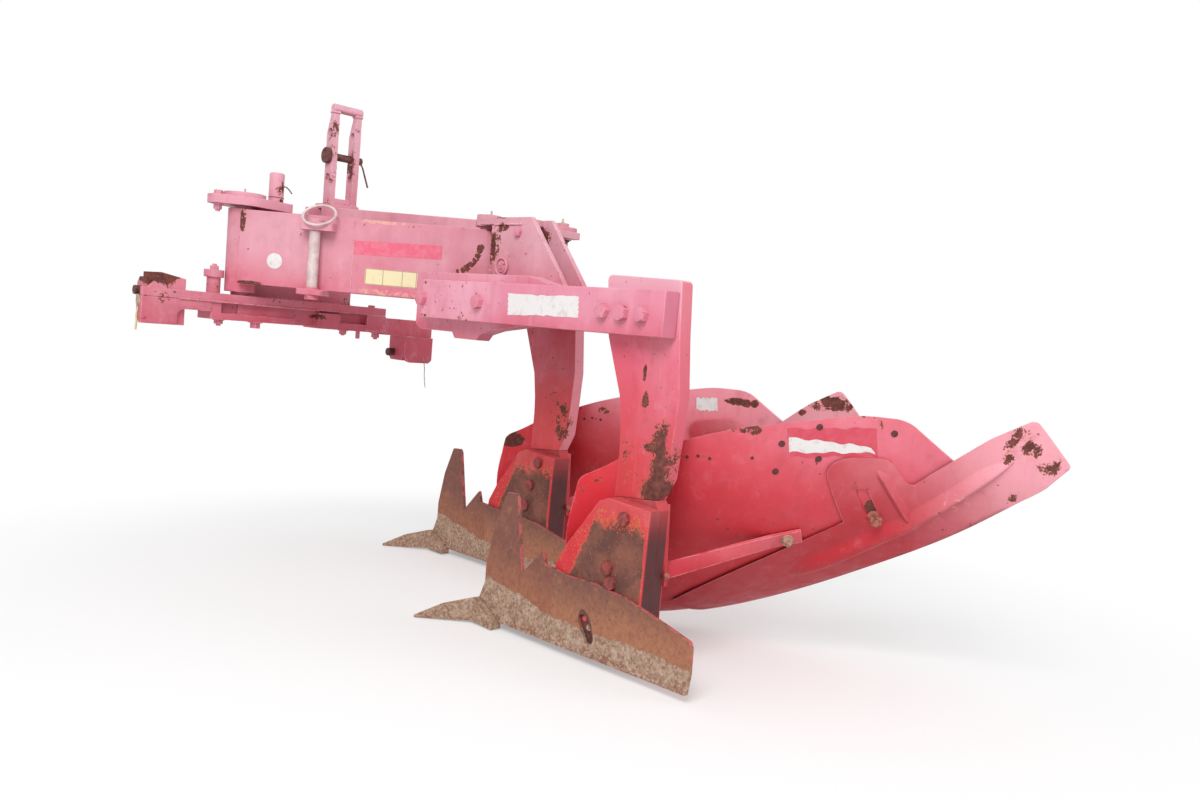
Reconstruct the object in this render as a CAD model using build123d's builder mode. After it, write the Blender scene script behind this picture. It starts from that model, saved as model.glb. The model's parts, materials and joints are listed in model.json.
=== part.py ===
"""Two-furrow mounted moldboard plough with a headstock that swings sideways on parallel arms.

Frame: millimetres, +Z up, +Y is the direction of travel, +X the furrow side.
Pieces are drawn from a datum on the floor, in the landside plane of the rear furrow body, abreast of
its heel. They are written out from the origin, in the middle of the floor area that the plough covers.
"""
from build123d import *
import math
import os

os.makedirs("parts", exist_ok=True)

# Driving sizes
ORIGIN = (296.3, 693.3)     # the part's origin, from the datum
SEAT = 0.3                  # gap between pieces that touch
FIT = 0.05                  # radial running clearance of the pivots
SOLE_Z = 20.0               # landside sole over the floor that the point tips stand on
STEP_X = 429.0              # rear body to front body, across travel
STEP_Y = 797.0              # rear body to front body, along travel

# Frame beams
BEAM_Z0 = 820.0
BEAM_Z1 = 930.0
BEAM_T = 50.0

# Furrow body plates, from the landside plane inwards
LANDSIDE_T = 12.0
FROG_X1 = 50.0
LEG_T = 40.0
FROG_FAR_T = 12.0
BOARD_T = 8.0

# Swing linkage, seen from above
NEAR_REAR = (318.0, 1217.0)
LINK_SPACING = 318.0
ARM_LENGTH = 800.0
ARM_ANGLE = 41.2            # from straight ahead, towards the landside
ARM_Z0 = 876.0
ARM_Z1 = 1109.0
ARM_W = 140.0
ARM_PIN_R = 28.0
LINK_Z0 = 1122.0
LINK_Z1 = 1164.0
LINK_W = 70.0
LINK_EYE_R = 50.0           # rear eye of the second link, a plate level with its top
LINK_EYE_T = 19.0
LINK_PIN_R = 14.0

# Headstock and tractor coupling, category 2
STRIP_Y0 = 1778.0           # rear and front edge of the cross bar
STRIP_Y1 = 1912.0
STRIP_Z0 = 811.0
STRIP_Z1 = 838.0
LOWER_PIN_R = 14.0
TOP_PIN_R = 12.5
LEFT_PIN = (1826.0, 826.0)  # y and z of the left lower pin
RIGHT_PIN = (1836.0, 683.0)
MAST_Y0 = 1822.0
MAST_Y1 = 1862.0
MAST_X = 97.0               # landside face of the left upright
MAST_Z0 = 1182.3
UPRIGHT_T = 22.0
UPRIGHT_STEP = 87.0
HANDLE_UP = 320.7           # handle bar over the foot of the mast
HANDLE_R = 14.5
HOLES_UP = [HANDLE_UP * share for share in (0.2775, 0.499, 0.7515)]     # the top pin is in the middle one
TOP_PIN_UP = HOLES_UP[1]

swing = math.radians(ARM_ANGLE)
NEAR_FRONT = (NEAR_REAR[0] - ARM_LENGTH * math.sin(swing), NEAR_REAR[1] + ARM_LENGTH * math.cos(swing))
FAR_REAR = (NEAR_REAR[0] + LINK_SPACING, NEAR_REAR[1])

# The headstock is drawn about this near front pivot, and moved to where the arm ends
HEAD_NEAR = (-208.95, 1818.93)
HEAD_FAR = (HEAD_NEAR[0] + LINK_SPACING, HEAD_NEAR[1])
TO_ARM = (NEAR_FRONT[0] - HEAD_NEAR[0], NEAR_FRONT[1] - HEAD_NEAR[1])


def save(piece, label, move=(0.0, 0.0)):
    """Bring one solid from the datum to the origin, label it and write it out."""
    piece.part.locate(Location((move[0] - ORIGIN[0], move[1] - ORIGIN[1], 0)))
    piece.part.label = label
    export_step(piece.part, f"parts/{label}.step")


def side_plane(x):
    """Plane parallel to the landside: sketch X runs along travel, sketch Y up."""
    return Plane(origin=(x, 0, 0), x_dir=(0, 1, 0), z_dir=(1, 0, 0))


def cross_plane(y):
    """Plane across travel: sketch X is world X, sketch Y up, extruding backwards."""
    return Plane(origin=(0, y, 0), x_dir=(1, 0, 0), z_dir=(0, -1, 0))


def side_plate(outline, x0, thick, holes=(), corner=0.0):
    """Flat plate parallel to the landside from (y, z) points, with round holes (y, z, r)."""
    with BuildPart() as plate:
        with BuildSketch(side_plane(x0)) as face:
            with BuildLine():
                Polyline(*outline, close=True)
            make_face()
            if corner:
                fillet(face.vertices().sort_by(Axis.Y)[-2:], corner)
            for y, z, r in holes:
                with Locations((y, z)):
                    Circle(r, mode=Mode.SUBTRACT)
        extrude(amount=thick)
    return plate


def block(x0, x1, y0, y1, z0, z1):
    """Rectangular bar between two corners."""
    with BuildPart() as bar:
        with BuildSketch(Plane.XY.offset(z0)):
            with Locations(((x0 + x1) / 2, (y0 + y1) / 2)):
                Rectangle(x1 - x0, y1 - y0)
        extrude(amount=z1 - z0)
    return bar


def round_bar(plane, r, length):
    """Plain round bar standing on a plane."""
    with BuildPart() as bar:
        with BuildSketch(plane):
            Circle(r)
        extrude(amount=length)
    return bar


def upright(at, z0):
    return Plane(origin=(at[0], at[1], z0), x_dir=(1, 0, 0), z_dir=(0, 0, 1))


# Leg outline of the rear body as (y, z): up the rear edge, over the top, down the front edge
LEG = ((180, 434), (151, 489), (143, 585), (137, 687), (151, 822), (160, 958), (405, 966),
       (385, 814), (329, 672), (316, 592), (313, 540), (315, 422))
LEG_BOLTS = ((365, 874), (300, 873), (240, 871))
LEG_BOLT_R = 13.0

# Frog: outer plate, block under the leg, inner plate that ends in an upright fin, pad behind the board
FROG_OUTER = ((165, 100), (163, 296), (160, 413), (299, 422), (327, 410), (375, 350), (425, 286), (460, 228),
              (478, 100))
FROG_BLOCK = ((167, 100), (167, 410), (180, 433.6), (315, 421.6), (370, 352), (415, 286), (440, 228),
              (440, 100))
FROG_INNER = ((163, 225), (176, 424), (200, 424), (370, 350), (400, 235))
FROG_PAD = ((330, 200), (330, 335), (385, 335), (420, 275), (420, 200))
PAD_GAP = 0.8
PAD_T = 50.0

# Stay: a flat bar bent twice, from the frog's fin to a foot that lies on the board
STAY_W = 42.0
STAY_T = 9.0
STAY_BENDS = ((238, 246), (188, 254))           # y and z of its end on the fin and of its first bend
STAY_FOOT = ((392, 72, 331), (440, 17, 353))    # second bend and end, on the back of the board
BOARD_NORMAL = (0.487, 0.654, 0.581)            # of the board under the foot, away from the stay

# Landside in two lengths: the shin piece with its knife fin, and the sole bar with a slotted bolt hole
LANDSIDE = ((468, 213.5), (390, 206), (314, 208), (202, 196), (106, 174), (-3, 146), (-10, 133),
            (-12, 71), (-6, 22), (0, SOLE_Z), (448, SOLE_Z))
SHIN = ((448.3, SOLE_Z), (468.3, 213.5), (489, 215), (502, 251), (576, 174), (614, 366), (622, 378),
        (658, 376), (698, 282), (722, 174), (722, 118), (741, 72), (650, SOLE_Z))
SLOT_CENTRE = (325, 88)
SLOT_LENGTH = 76
SLOT_WIDTH = 34
SLOT_ANGLE = 57

# Bar point: its outline from the side as (y, z) and from above as (x, y)
POINT_SIDE = ((655, 2), (741, 6), (800, 3), (857, 0), (857, 8), (800, 48), (741, 71.6), (655, 22.5))
POINT_PLAN = ((-24, 655), (-24, 741), (-79, 800), (-131, 857), (-113, 857), (-45, 800), (12, 741), (12, 655))

# Moldboard surface stations: y, then (x, z) of its lower edge, of its middle and above its top edge
STATIONS = (
    (490, (440, 55), (130, 150), (10, 400)),
    (400, (505, 60), (190, 200), (105, 500)),
    (250, (580, 116), (255, 290), (130, 580)),
    (50, (640, 215), (365, 395), (190, 660)),
    (-140, (672, 320), (530, 470), (430, 710)),
    (-290, (690, 412), (610, 530), (545, 710)),
    (-440, (705, 520), (672, 610), (655, 730)),
    (-530, (715, 560), (700, 620), (690, 700)),
)
# Outlines that trim the surface, as (y, z) seen from the landside, some corners with a radius
BOARD_OUTLINE = ((520, 0), (490, 200), (455, 390), (448, 450, 35), (364, 512, 60), (51, 627, 200),
                 (-122, 678, 160), (-205, 676, 60), (-303, 576), (-180, 430), (50, 268), (270, 118),
                 (345, 0))
TAIL_OUTLINE = ((360, 0), (350, 112), (286, 157), (95, 286), (-28, 373), (-65, 400, 8), (-60, 565, 55),
                (-172, 578, 24), (-204, 508, 14), (-283, 576), (-370, 651, 60), (-450, 706, 12),
                (-529, 604, 12), (-475, 545), (-421, 500), (-421, 0))
TAIL_SLOT = (-119, 450)
TAIL_SLOT_LENGTH = 90.0
TAIL_SLOT_WIDTH = 24.0
TAIL_SLOT_ANGLE = 83.0

# Share: x, then (y, z) of the cutting edge and of the rear edge that meets the board
SHARE_EDGE_T = 3.0
SHARE = (
    (LANDSIDE_T + SEAT, (722, 26), (565, 172)),
    (65, (698, 26), (490.3, 190)),
    (130, (661, 26), (490.3, 152)),
    (250, (596, 28), (490.3, 101)),
    (425, (508, 34), (490.3, 62)),
)


def arc_centre(a, m, b):
    """Centre and radius of the circle through three points."""
    d = 2 * (a[0] * (m[1] - b[1]) + m[0] * (b[1] - a[1]) + b[0] * (a[1] - m[1]))
    sa, sm, sb = (p[0] ** 2 + p[1] ** 2 for p in (a, m, b))
    cx = (sa * (m[1] - b[1]) + sm * (b[1] - a[1]) + sb * (a[1] - m[1])) / d
    cy = (sa * (b[0] - m[0]) + sm * (a[0] - b[0]) + sb * (m[0] - a[0])) / d
    return cx, cy, math.hypot(a[0] - cx, a[1] - cy)


def curved_strip(plane, a, m, b, near, far):
    """Closed strip between two concentric arcs; near and far are measured towards the landside."""
    cx, cy, r = arc_centre(a, m, b)
    side = -1 if (b[0] - a[0]) * (cy - a[1]) - (b[1] - a[1]) * (cx - a[0]) > 0 else 1

    def at(p, shift):
        k = (r + side * shift) / r
        return cx + (p[0] - cx) * k, cy + (p[1] - cy) * k

    with BuildSketch(plane) as strip:
        with BuildLine():
            ThreePointArc(at(a, near), at(m, near), at(b, near))
            Line(at(b, near), at(b, far))
            ThreePointArc(at(b, far), at(m, far), at(a, far))
            Line(at(a, far), at(a, near))
        make_face()
    return strip.sketch


def board(outline, dx, dy, near, far, slot=None):
    """Curved plate lofted through one strip per station, then trimmed to a side-view outline.

    An outline corner may carry its radius, and slot is the centre of an upright slotted hole.
    """
    strips = []
    for y, *curve in STATIONS:
        moved = [(x + dx, z) for x, z in curve]
        strips.append(curved_strip(cross_plane(y + dy), *moved, near, far))
    with BuildPart() as plate:
        loft(sections=strips)
        with BuildSketch(side_plane(dx - 100)) as trim:
            with BuildLine():
                Polyline(*[(corner[0] + dy, corner[1]) for corner in outline], close=True)
            make_face()
            for y, z, r in [corner for corner in outline if len(corner) == 3]:
                fillet(trim.vertices().sort_by_distance((y + dy, z))[0], r)
            if slot:
                with Locations((slot[0] + dy, slot[1])):
                    SlotOverall(TAIL_SLOT_LENGTH, TAIL_SLOT_WIDTH, TAIL_SLOT_ANGLE, mode=Mode.SUBTRACT)
        extrude(amount=1000, mode=Mode.INTERSECT)
    return plate


def bent_bar(places, width, thick):
    """Flat bar bent along a path: places are (point, direction of its thickness)."""
    points = [Vector(*point) for point, face in places]
    runs = [(end - start).normalized() for start, end in zip(points, points[1:])]
    with BuildPart() as bar:
        for i, (point, face) in enumerate(places):
            before, after = runs[max(i - 1, 0)], runs[min(i, len(runs) - 1)]
            mitre = (before + after).normalized()
            across = Vector(*face) - mitre * Vector(*face).dot(mitre)
            with BuildSketch(Plane(origin=point, x_dir=across.normalized(), z_dir=mitre)):
                Rectangle(thick / mitre.dot(after), width)
        loft(ruled=True)
    return bar


# Furrow bodies
for tag, dx, dy in (("rear", 0.0, 0.0), ("front", STEP_X, STEP_Y)):
    def moved(outline, shift=dy):
        return [(y + shift, z) for y, z in outline]

    leg_x = dx + FROG_X1 + SEAT
    save(side_plate(moved(LEG), leg_x, LEG_T, corner=14.0), f"leg_{tag}")

    with BuildPart() as frog:
        for outline, x0, x1 in ((FROG_OUTER, dx + LANDSIDE_T + SEAT, dx + FROG_X1),
                                (FROG_BLOCK, dx + FROG_X1, leg_x + LEG_T + SEAT),
                                (FROG_INNER, leg_x + LEG_T + SEAT, leg_x + LEG_T + SEAT + FROG_FAR_T)):
            with BuildSketch(side_plane(x0)):
                with BuildLine():
                    Polyline(*moved(outline), close=True)
                make_face()
            extrude(amount=x1 - x0)
        add(board(FROG_PAD, dx, dy, PAD_GAP, PAD_T).part)
    save(frog, f"frog_{tag}")

    with BuildPart() as landside:
        with BuildSketch(side_plane(dx)):
            with BuildLine():
                Polyline(*moved(LANDSIDE), close=True)
            make_face()
            with Locations((SLOT_CENTRE[0] + dy, SLOT_CENTRE[1])):
                SlotOverall(SLOT_LENGTH, SLOT_WIDTH, rotation=SLOT_ANGLE, mode=Mode.SUBTRACT)
        extrude(amount=LANDSIDE_T)
    save(landside, f"landside_{tag}")
    save(side_plate(moved(SHIN), dx, LANDSIDE_T), f"knife_{tag}")

    with BuildPart() as point:
        with BuildSketch(side_plane(dx + POINT_PLAN[3][0])):
            with BuildLine():
                Polyline(*moved(POINT_SIDE), close=True)
            make_face()
        extrude(amount=POINT_PLAN[6][0] - POINT_PLAN[3][0])
        with BuildSketch():
            with BuildLine():
                Polyline(*[(x + dx, y + dy) for x, y in POINT_PLAN], close=True)
            make_face()
        extrude(amount=POINT_SIDE[6][1], mode=Mode.INTERSECT)
    save(point, f"point_{tag}")

    with BuildPart() as share:
        for x, edge, back in SHARE:
            with BuildSketch(side_plane(x + dx)):
                with BuildLine():
                    Polyline((edge[0] + dy, edge[1]), (back[0] + dy, back[1]),
                             (back[0] + dy, back[1] + BOARD_T), (edge[0] + dy, edge[1] + SHARE_EDGE_T),
                             close=True)
                make_face()
        loft(ruled=True)
    save(share, f"share_{tag}")

    save(board(BOARD_OUTLINE, dx, dy, -BOARD_T, 0.0), f"moldboard_{tag}")
    save(board(TAIL_OUTLINE, dx, dy, SEAT, BOARD_T + SEAT, TAIL_SLOT), f"extension_{tag}")

    fin_x = leg_x + LEG_T + SEAT + FROG_FAR_T + SEAT + STAY_T / 2
    stay = [((fin_x, y + dy, z), (1, 0, 0)) for y, z in STAY_BENDS]
    stay += [((x + dx, y + dy, z), BOARD_NORMAL) for x, y, z in STAY_FOOT]
    save(bent_bar(stay, STAY_W, STAY_T), f"stay_{tag}")

# Frame: two beams along travel, the side plate and cross member that join them
MAIN_BEAM_Y = (163.0, 1108.0)
INNER_BEAM_Y = (790.0, 1215.0)
SIDE_X1 = 100.0
SIDE_PLATE = ((700, 820), (620, 850), (620, 936), (700, 955), (1200, 955), (1200, 800), (1170, 785),
              (1018, 785), (1005, 768), (905, 768), (890, 785), (836, 800))
CROSS_Y0 = NEAR_REAR[1] - 437.0
CROSS_Y1 = NEAR_REAR[1] - 237.0
save(block(0, BEAM_T, *MAIN_BEAM_Y, BEAM_Z0, BEAM_Z1), "main_beam")
save(block(STEP_X, STEP_X + BEAM_T, *INNER_BEAM_Y, BEAM_Z0, BEAM_Z1), "inner_beam")
save(side_plate(SIDE_PLATE, BEAM_T + SEAT, SIDE_X1 - BEAM_T - SEAT), "side_plate")
save(block(SIDE_X1 + SEAT, STEP_X - SEAT, CROSS_Y0, CROSS_Y1, BEAM_Z0, BEAM_Z1), "cross_member")

# Rear knuckle, placed from the near rear pivot: two cheeks on the cross member, the plates over and
# under the swing arm, and the outrigger that carries the far pivot
KNUCKLE_Z0 = 1122.0
KNUCKLE_Z1 = 1143.0
KNUCKLE_X = (NEAR_REAR[0] - 68.0, NEAR_REAR[0] + 75.0)
CHEEK_X = (KNUCKLE_X[0], NEAR_REAR[0] + 12.0)
CHEEK_PLATE_T = 16.0
PLATE_REAR = NEAR_REAR[1] - 241.0
CHEEK = ((NEAR_REAR[1] - 107.0, BEAM_Z1 + SEAT), (NEAR_REAR[1] - 107.0, KNUCKLE_Z0 - SEAT),
         (PLATE_REAR, KNUCKLE_Z0 - SEAT), (PLATE_REAR, KNUCKLE_Z1), (NEAR_REAR[1] - 279.0, KNUCKLE_Z1),
         (NEAR_REAR[1] - 459.0, BEAM_Z1 + SEAT))
for side, x in zip(("near", "far"), CHEEK_X):
    save(side_plate(CHEEK, x, CHEEK_PLATE_T), f"cheek_{side}")


def pivot_plate(centre, r, xs, ys, zs, bore):
    """Flat plate: a rectangle joined to a round eye, bored for an upright pin."""
    with BuildPart() as plate:
        with BuildSketch(Plane.XY.offset(zs[0])):
            with Locations((sum(xs) / 2, sum(ys) / 2)):
                Rectangle(xs[1] - xs[0], ys[1] - ys[0])
            with Locations(centre):
                Circle(r)
                Circle(bore, mode=Mode.SUBTRACT)
        extrude(amount=zs[1] - zs[0])
    return plate


LOWER_PLATE_Z = (ARM_Z0 - 30.0, ARM_Z0 - 5.0)
OUTRIGGER_X = (KNUCKLE_X[1] + SEAT, FAR_REAR[0])
OUTRIGGER_Y = (FAR_REAR[1] - 90.0, FAR_REAR[1] - 7.0)
OUTRIGGER_Z = (KNUCKLE_Z0, LINK_Z1 - LINK_EYE_T - SEAT)
save(pivot_plate(NEAR_REAR, 44, KNUCKLE_X, (PLATE_REAR + SEAT, NEAR_REAR[1] - 35.0), (KNUCKLE_Z0, KNUCKLE_Z1),
                 ARM_PIN_R), "rear_top_plate")
save(pivot_plate(NEAR_REAR, 60, KNUCKLE_X, (CROSS_Y1 + SEAT, NEAR_REAR[1]), LOWER_PLATE_Z, ARM_PIN_R),
     "rear_bottom_plate")
save(pivot_plate(FAR_REAR, 34, OUTRIGGER_X, OUTRIGGER_Y, OUTRIGGER_Z, LINK_PIN_R), "outrigger")


def headed_pin(at, r, z0, z1, head_r, head):
    """Upright pin from z0 to z1 with a round head on top."""
    with BuildPart() as pin:
        with BuildSketch(upright(at, z0)):
            Circle(r)
        extrude(amount=z1 - z0)
        with BuildSketch(upright(at, z1)):
            Circle(head_r)
        extrude(amount=head)
    return pin


save(headed_pin(NEAR_REAR, ARM_PIN_R, LOWER_PLATE_Z[0] - 10, KNUCKLE_Z1 + SEAT, 40, 16), "rear_pin")
save(headed_pin(FAR_REAR, LINK_PIN_R, OUTRIGGER_Z[0] - 12, LINK_Z1 + SEAT, 22, 14), "link_rear_pin")

# Swing arm and second link, laid out from the rear pivot towards the front one
ARM_DIR = (-math.sin(swing), math.cos(swing), 0)
SLEEVE_R = 48.0
SLEEVE_Z0 = 848.0
SLEEVE_Z1 = 1114.0
BOX_END = ARM_LENGTH - 18.0
ROD_AT = ARM_LENGTH - 270.0
ROD_R = 17.0
ROD_OFF = ARM_W / 2 + ROD_R + 8
UPPER_LUG = (ROD_AT - 8, 1059, 1085, 106)      # distance along the arm, lower z, upper z, length
LOWER_LUG = (ROD_AT + 2, ARM_Z0 - 18, ARM_Z0, 86)


def along_arm(origin, z):
    """Level plane with its sketch X along the arm and its sketch Y towards the landside."""
    return Plane(origin=(origin[0], origin[1], z), x_dir=ARM_DIR, z_dir=(0, 0, 1))


with BuildPart() as swing_arm:
    with BuildSketch(along_arm(NEAR_REAR, ARM_Z0)):
        with Locations((BOX_END / 2, 0)):
            Rectangle(BOX_END, ARM_W)
        Circle(ARM_W / 2)
    extrude(amount=ARM_Z1 - ARM_Z0)
    with BuildSketch(along_arm(NEAR_REAR, SLEEVE_Z0)):
        with Locations((ARM_LENGTH, 0)):
            Circle(SLEEVE_R)
    extrude(amount=SLEEVE_Z1 - SLEEVE_Z0)
    for s, z0, z1, length in (UPPER_LUG, LOWER_LUG):
        with BuildSketch(along_arm(NEAR_REAR, z0)):
            with Locations((s, ROD_OFF - 20)):
                RectangleRounded(length, 2 * ROD_R + 56, 14)
        extrude(amount=z1 - z0)
    with BuildSketch(along_arm(NEAR_REAR, SLEEVE_Z0)):
        with Locations((0, 0), (ARM_LENGTH, 0)):
            Circle(ARM_PIN_R + FIT)
    extrude(amount=SLEEVE_Z1 - SLEEVE_Z0, mode=Mode.SUBTRACT)
save(swing_arm, "swing_arm")

with BuildPart() as arm_rod:
    with BuildSketch(along_arm(NEAR_REAR, ARM_Z0 + SEAT)):
        with Locations((ROD_AT, ROD_OFF)):
            Circle(ROD_R)
    extrude(amount=UPPER_LUG[1] - ARM_Z0 - 2 * SEAT)
save(arm_rod, "arm_rod")

with BuildPart() as second_link:
    with BuildSketch(along_arm(FAR_REAR, LINK_Z0)):
        with Locations((ARM_LENGTH, 0)):
            Circle(LINK_W / 2)
        with Locations(((ARM_LENGTH + LINK_EYE_R + 10) / 2, 0)):
            Rectangle(ARM_LENGTH - LINK_EYE_R - 10, LINK_W)
        with Locations((ARM_LENGTH, 0)):
            Circle(LINK_PIN_R + FIT, mode=Mode.SUBTRACT)
    extrude(amount=LINK_Z1 - LINK_Z0)
    with BuildSketch(along_arm(FAR_REAR, LINK_Z1 - LINK_EYE_T)):
        with Locations(((LINK_EYE_R + 10) / 2, 0)):
            Rectangle(LINK_EYE_R + 10, LINK_W)
        Circle(LINK_EYE_R)
        Circle(LINK_PIN_R + FIT, mode=Mode.SUBTRACT)
    extrude(amount=LINK_EYE_T)
save(second_link, "second_link")

# Headstock: cross bar with the stops and plates under it
STRIP_X = (-537.0, 330.0)
STRIP_STEP = (-390.0, STRIP_Y0 + 18)        # left of here the bar is only as deep as that
with BuildPart() as cross_bar:
    with BuildSketch(Plane.XY.offset(STRIP_Z0)):
        with BuildLine():
            Polyline((STRIP_X[0], STRIP_Y0), (STRIP_X[1], STRIP_Y0), (STRIP_X[1], STRIP_Y1),
                     (STRIP_STEP[0], STRIP_Y1), STRIP_STEP, (STRIP_X[0], STRIP_STEP[1]), close=True)
        make_face()
    extrude(amount=STRIP_Z1 - STRIP_Z0)
    with BuildSketch(cross_plane(STRIP_STEP[1])):
        with BuildLine():
            Polyline((-520, STRIP_Z1), (-461, STRIP_Z1), (-469, STRIP_Z1 + 23), (-500, STRIP_Z1 + 23),
                     close=True)
        make_face()
    extrude(amount=STRIP_STEP[1] - STRIP_Y0)
save(cross_bar, "cross_bar", TO_ARM)

UNDER_Z0 = STRIP_Z0 - 56
UNDER_Y1 = STRIP_Y1 - 32
UNDER_BLOCKS = (
    # x0, x1, y0, z0, z1
    (-300, 332, STRIP_Y0 + 28, UNDER_Z0, STRIP_Z0 - SEAT),
    (-317, -284, STRIP_Y0 + 6, UNDER_Z0, STRIP_Z0 - SEAT),
    (-284, -222, STRIP_Y0 + 6, UNDER_Z0, UNDER_Z0 + 21),
    (-222, -24, STRIP_Y0 + 6, UNDER_Z0, UNDER_Z0 + 20),
    (-222, -30, STRIP_Y0 + 18, UNDER_Z0 + 20, STRIP_Z0 - SEAT),
    (62, 148, STRIP_Y0 + 4, UNDER_Z0 - 5, UNDER_Z0 + 48),
    (148, 332, STRIP_Y0 + 4, UNDER_Z0 - 5, UNDER_Z0 + 19),
    (255, 332, STRIP_Y0 + 2, UNDER_Z0, STRIP_Z0 - SEAT),
)
with BuildPart() as under_bar:
    for x0, x1, y0, z0, z1 in UNDER_BLOCKS:
        with BuildSketch(Plane.XY.offset(z0)):
            with Locations(((x0 + x1) / 2, (y0 + UNDER_Y1) / 2)):
                Rectangle(x1 - x0, UNDER_Y1 - y0)
        extrude(amount=z1 - z0)
save(under_bar, "under_bar", TO_ARM)
save(block(STRIP_X[1] + 2, 538, STRIP_Y0 + 2, STRIP_Y0 + 82, UNDER_Z0 - 10, STRIP_Z0 - 6),
     "right_bar", TO_ARM)

# Lower hitch brackets: a rear plate with two cheeks, open to the front, and the pin through them
CHEEK_T = 16.0
TOP_T = 12.0
LEFT_BACK = ((-537, 728), (-427, 728), (-427, 779), (-317.3, 779), (-317.3, STRIP_Z0 - SEAT),
             (-537, STRIP_Z0 - SEAT))
LEFT_CORNER = ((-427, 779), 24.0)       # inner corner of the left rear plate and its radius
LEFT_TOP = ((-524, 728), (-396, 728), (-396, 871), (-403, 873), (-473, 886), (-524, 883))
RIGHT_BACK = ((412, 690), (416, 668), (426, 655), (440, 650), (520, 650), (534, 662), (534, 744.7),
              (412, 744.7))
LEFT_EAR = ((1796.3, 728), (1830, 728), (1852, 760), (1852, 850), (1834, 868), (1796.3, 868))
LEFT_CHEEK = ((1796.3, 740), (1886, 740), (1912, 766), (1912, 846), (1886, 868), (1796.3, 868))
RIGHT_CHEEK = ((1780, 656), (1850, 656), (1864, 670), (1864, 744.7), (1780, 744.7))
# side, rear plate outline, its y, outer and inner cheek as (x, outline), pin
PIN_LENGTH = 150.0
BRACKETS = (
    ("left", LEFT_BACK, 1780, ((-524, LEFT_EAR), (-412, LEFT_CHEEK)), LEFT_PIN, -543),
    ("right", RIGHT_BACK, 1764, ((412, RIGHT_CHEEK), (518, RIGHT_CHEEK)), RIGHT_PIN, 386),
)
for side, back, y0, cheeks, pin, pin_x in BRACKETS:
    with BuildPart() as bracket:
        with BuildSketch(cross_plane(y0 + CHEEK_T + SEAT)) as bracket_back:
            with BuildLine():
                Polyline(*back, close=True)
            make_face()
            if side == "left":
                fillet(bracket_back.vertices().sort_by_distance(LEFT_CORNER[0])[0], LEFT_CORNER[1])
        extrude(amount=CHEEK_T)
        if side == "left":
            with BuildSketch(cross_plane(y0 + CHEEK_T + SEAT + TOP_T)):
                with BuildLine():
                    Polyline(*LEFT_TOP, close=True)
                make_face()
            extrude(amount=TOP_T)
        for x, outline in cheeks:
            with BuildSketch(side_plane(x)):
                with BuildLine():
                    Polyline(*outline, close=True)
                make_face()
                with Locations(pin):
                    Circle(LOWER_PIN_R, mode=Mode.SUBTRACT)
            extrude(amount=CHEEK_T)
    save(bracket, f"bracket_{side}", TO_ARM)
    with BuildPart() as pin_bar:
        with BuildSketch(Plane(origin=(pin_x, *pin), x_dir=(0, 1, 0), z_dir=(1, 0, 0))):
            Circle(LOWER_PIN_R)
        extrude(amount=PIN_LENGTH)
    save(pin_bar, f"lower_pin_{side}", TO_ARM)

# Back plate, and the plates that hold the front pivots of both arms
BACK_Y0 = STRIP_Y1 - 22
FRONT_PLATE_Z = (1122.0, 1150.0)
BACK_TOP = LINK_Z1 + SEAT
BACK_OUTLINE = ((-190, STRIP_Z1 + SEAT), (250, STRIP_Z1 + SEAT), (250, BACK_TOP), (60, BACK_TOP),
                (60, FRONT_PLATE_Z[0] - SEAT), (-190, FRONT_PLATE_Z[0] - SEAT))
with BuildPart() as back_plate:
    with BuildSketch(cross_plane(STRIP_Y1)):
        with BuildLine():
            Polyline(*BACK_OUTLINE, close=True)
        make_face()
    extrude(amount=STRIP_Y1 - BACK_Y0)
save(back_plate, "back_plate", TO_ARM)

with BuildPart() as front_top_plate:
    with BuildSketch(Plane.XY.offset(FRONT_PLATE_Z[0])):
        with Locations((-136, 1841)):
            Rectangle(144, 142)
        with Locations(HEAD_NEAR):
            Circle(75)
        with Locations((-285, 1835)):
            Circle(37)
        make_hull()
        with Locations(HEAD_NEAR):
            Circle(ARM_PIN_R, mode=Mode.SUBTRACT)
    extrude(amount=FRONT_PLATE_Z[1] - FRONT_PLATE_Z[0])
save(front_top_plate, "front_top_plate", TO_ARM)
save(headed_pin(HEAD_NEAR, ARM_PIN_R, STRIP_Z1 + SEAT, FRONT_PLATE_Z[1] + SEAT, 66, 14), "front_pin", TO_ARM)
LINK_PLATE_Z = (LINK_Z0 - 26.0, LINK_Z0 - SEAT)
save(pivot_plate(HEAD_FAR, 42, (HEAD_FAR[0] - 42, HEAD_FAR[0] + 42), (HEAD_FAR[1], BACK_Y0 - SEAT),
                 LINK_PLATE_Z, LINK_PIN_R), "link_front_plate", TO_ARM)
save(round_bar(upright(HEAD_FAR, LINK_PLATE_Z[0] - 26), LINK_PIN_R, BACK_TOP - LINK_PLATE_Z[0] + 26),
     "link_front_pin", TO_ARM)

# Stub on the cross bar with its cap, and the post on the top plate
STUB_AT = (-288.0, 1840.0)
STUB_CAP_Z = STRIP_Z1 + 50
POST_AT = (-100.0, 1820.0)
with BuildPart() as stub:
    for z0, z1, r in ((STRIP_Z1 + SEAT, STUB_CAP_Z, 21.5), (STUB_CAP_Z, STUB_CAP_Z + 24, 31)):
        with BuildSketch(upright(STUB_AT, z0)):
            Circle(r)
        extrude(amount=z1 - z0)
save(stub, "stub", TO_ARM)
with BuildPart() as post:
    with BuildSketch(upright(POST_AT, FRONT_PLATE_Z[1] + SEAT)):
        Circle(24)
    extrude(amount=98)
    chamfer(post.faces().sort_by(Axis.Z)[-1].edges(), 4)
save(post, "post", TO_ARM)

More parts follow.
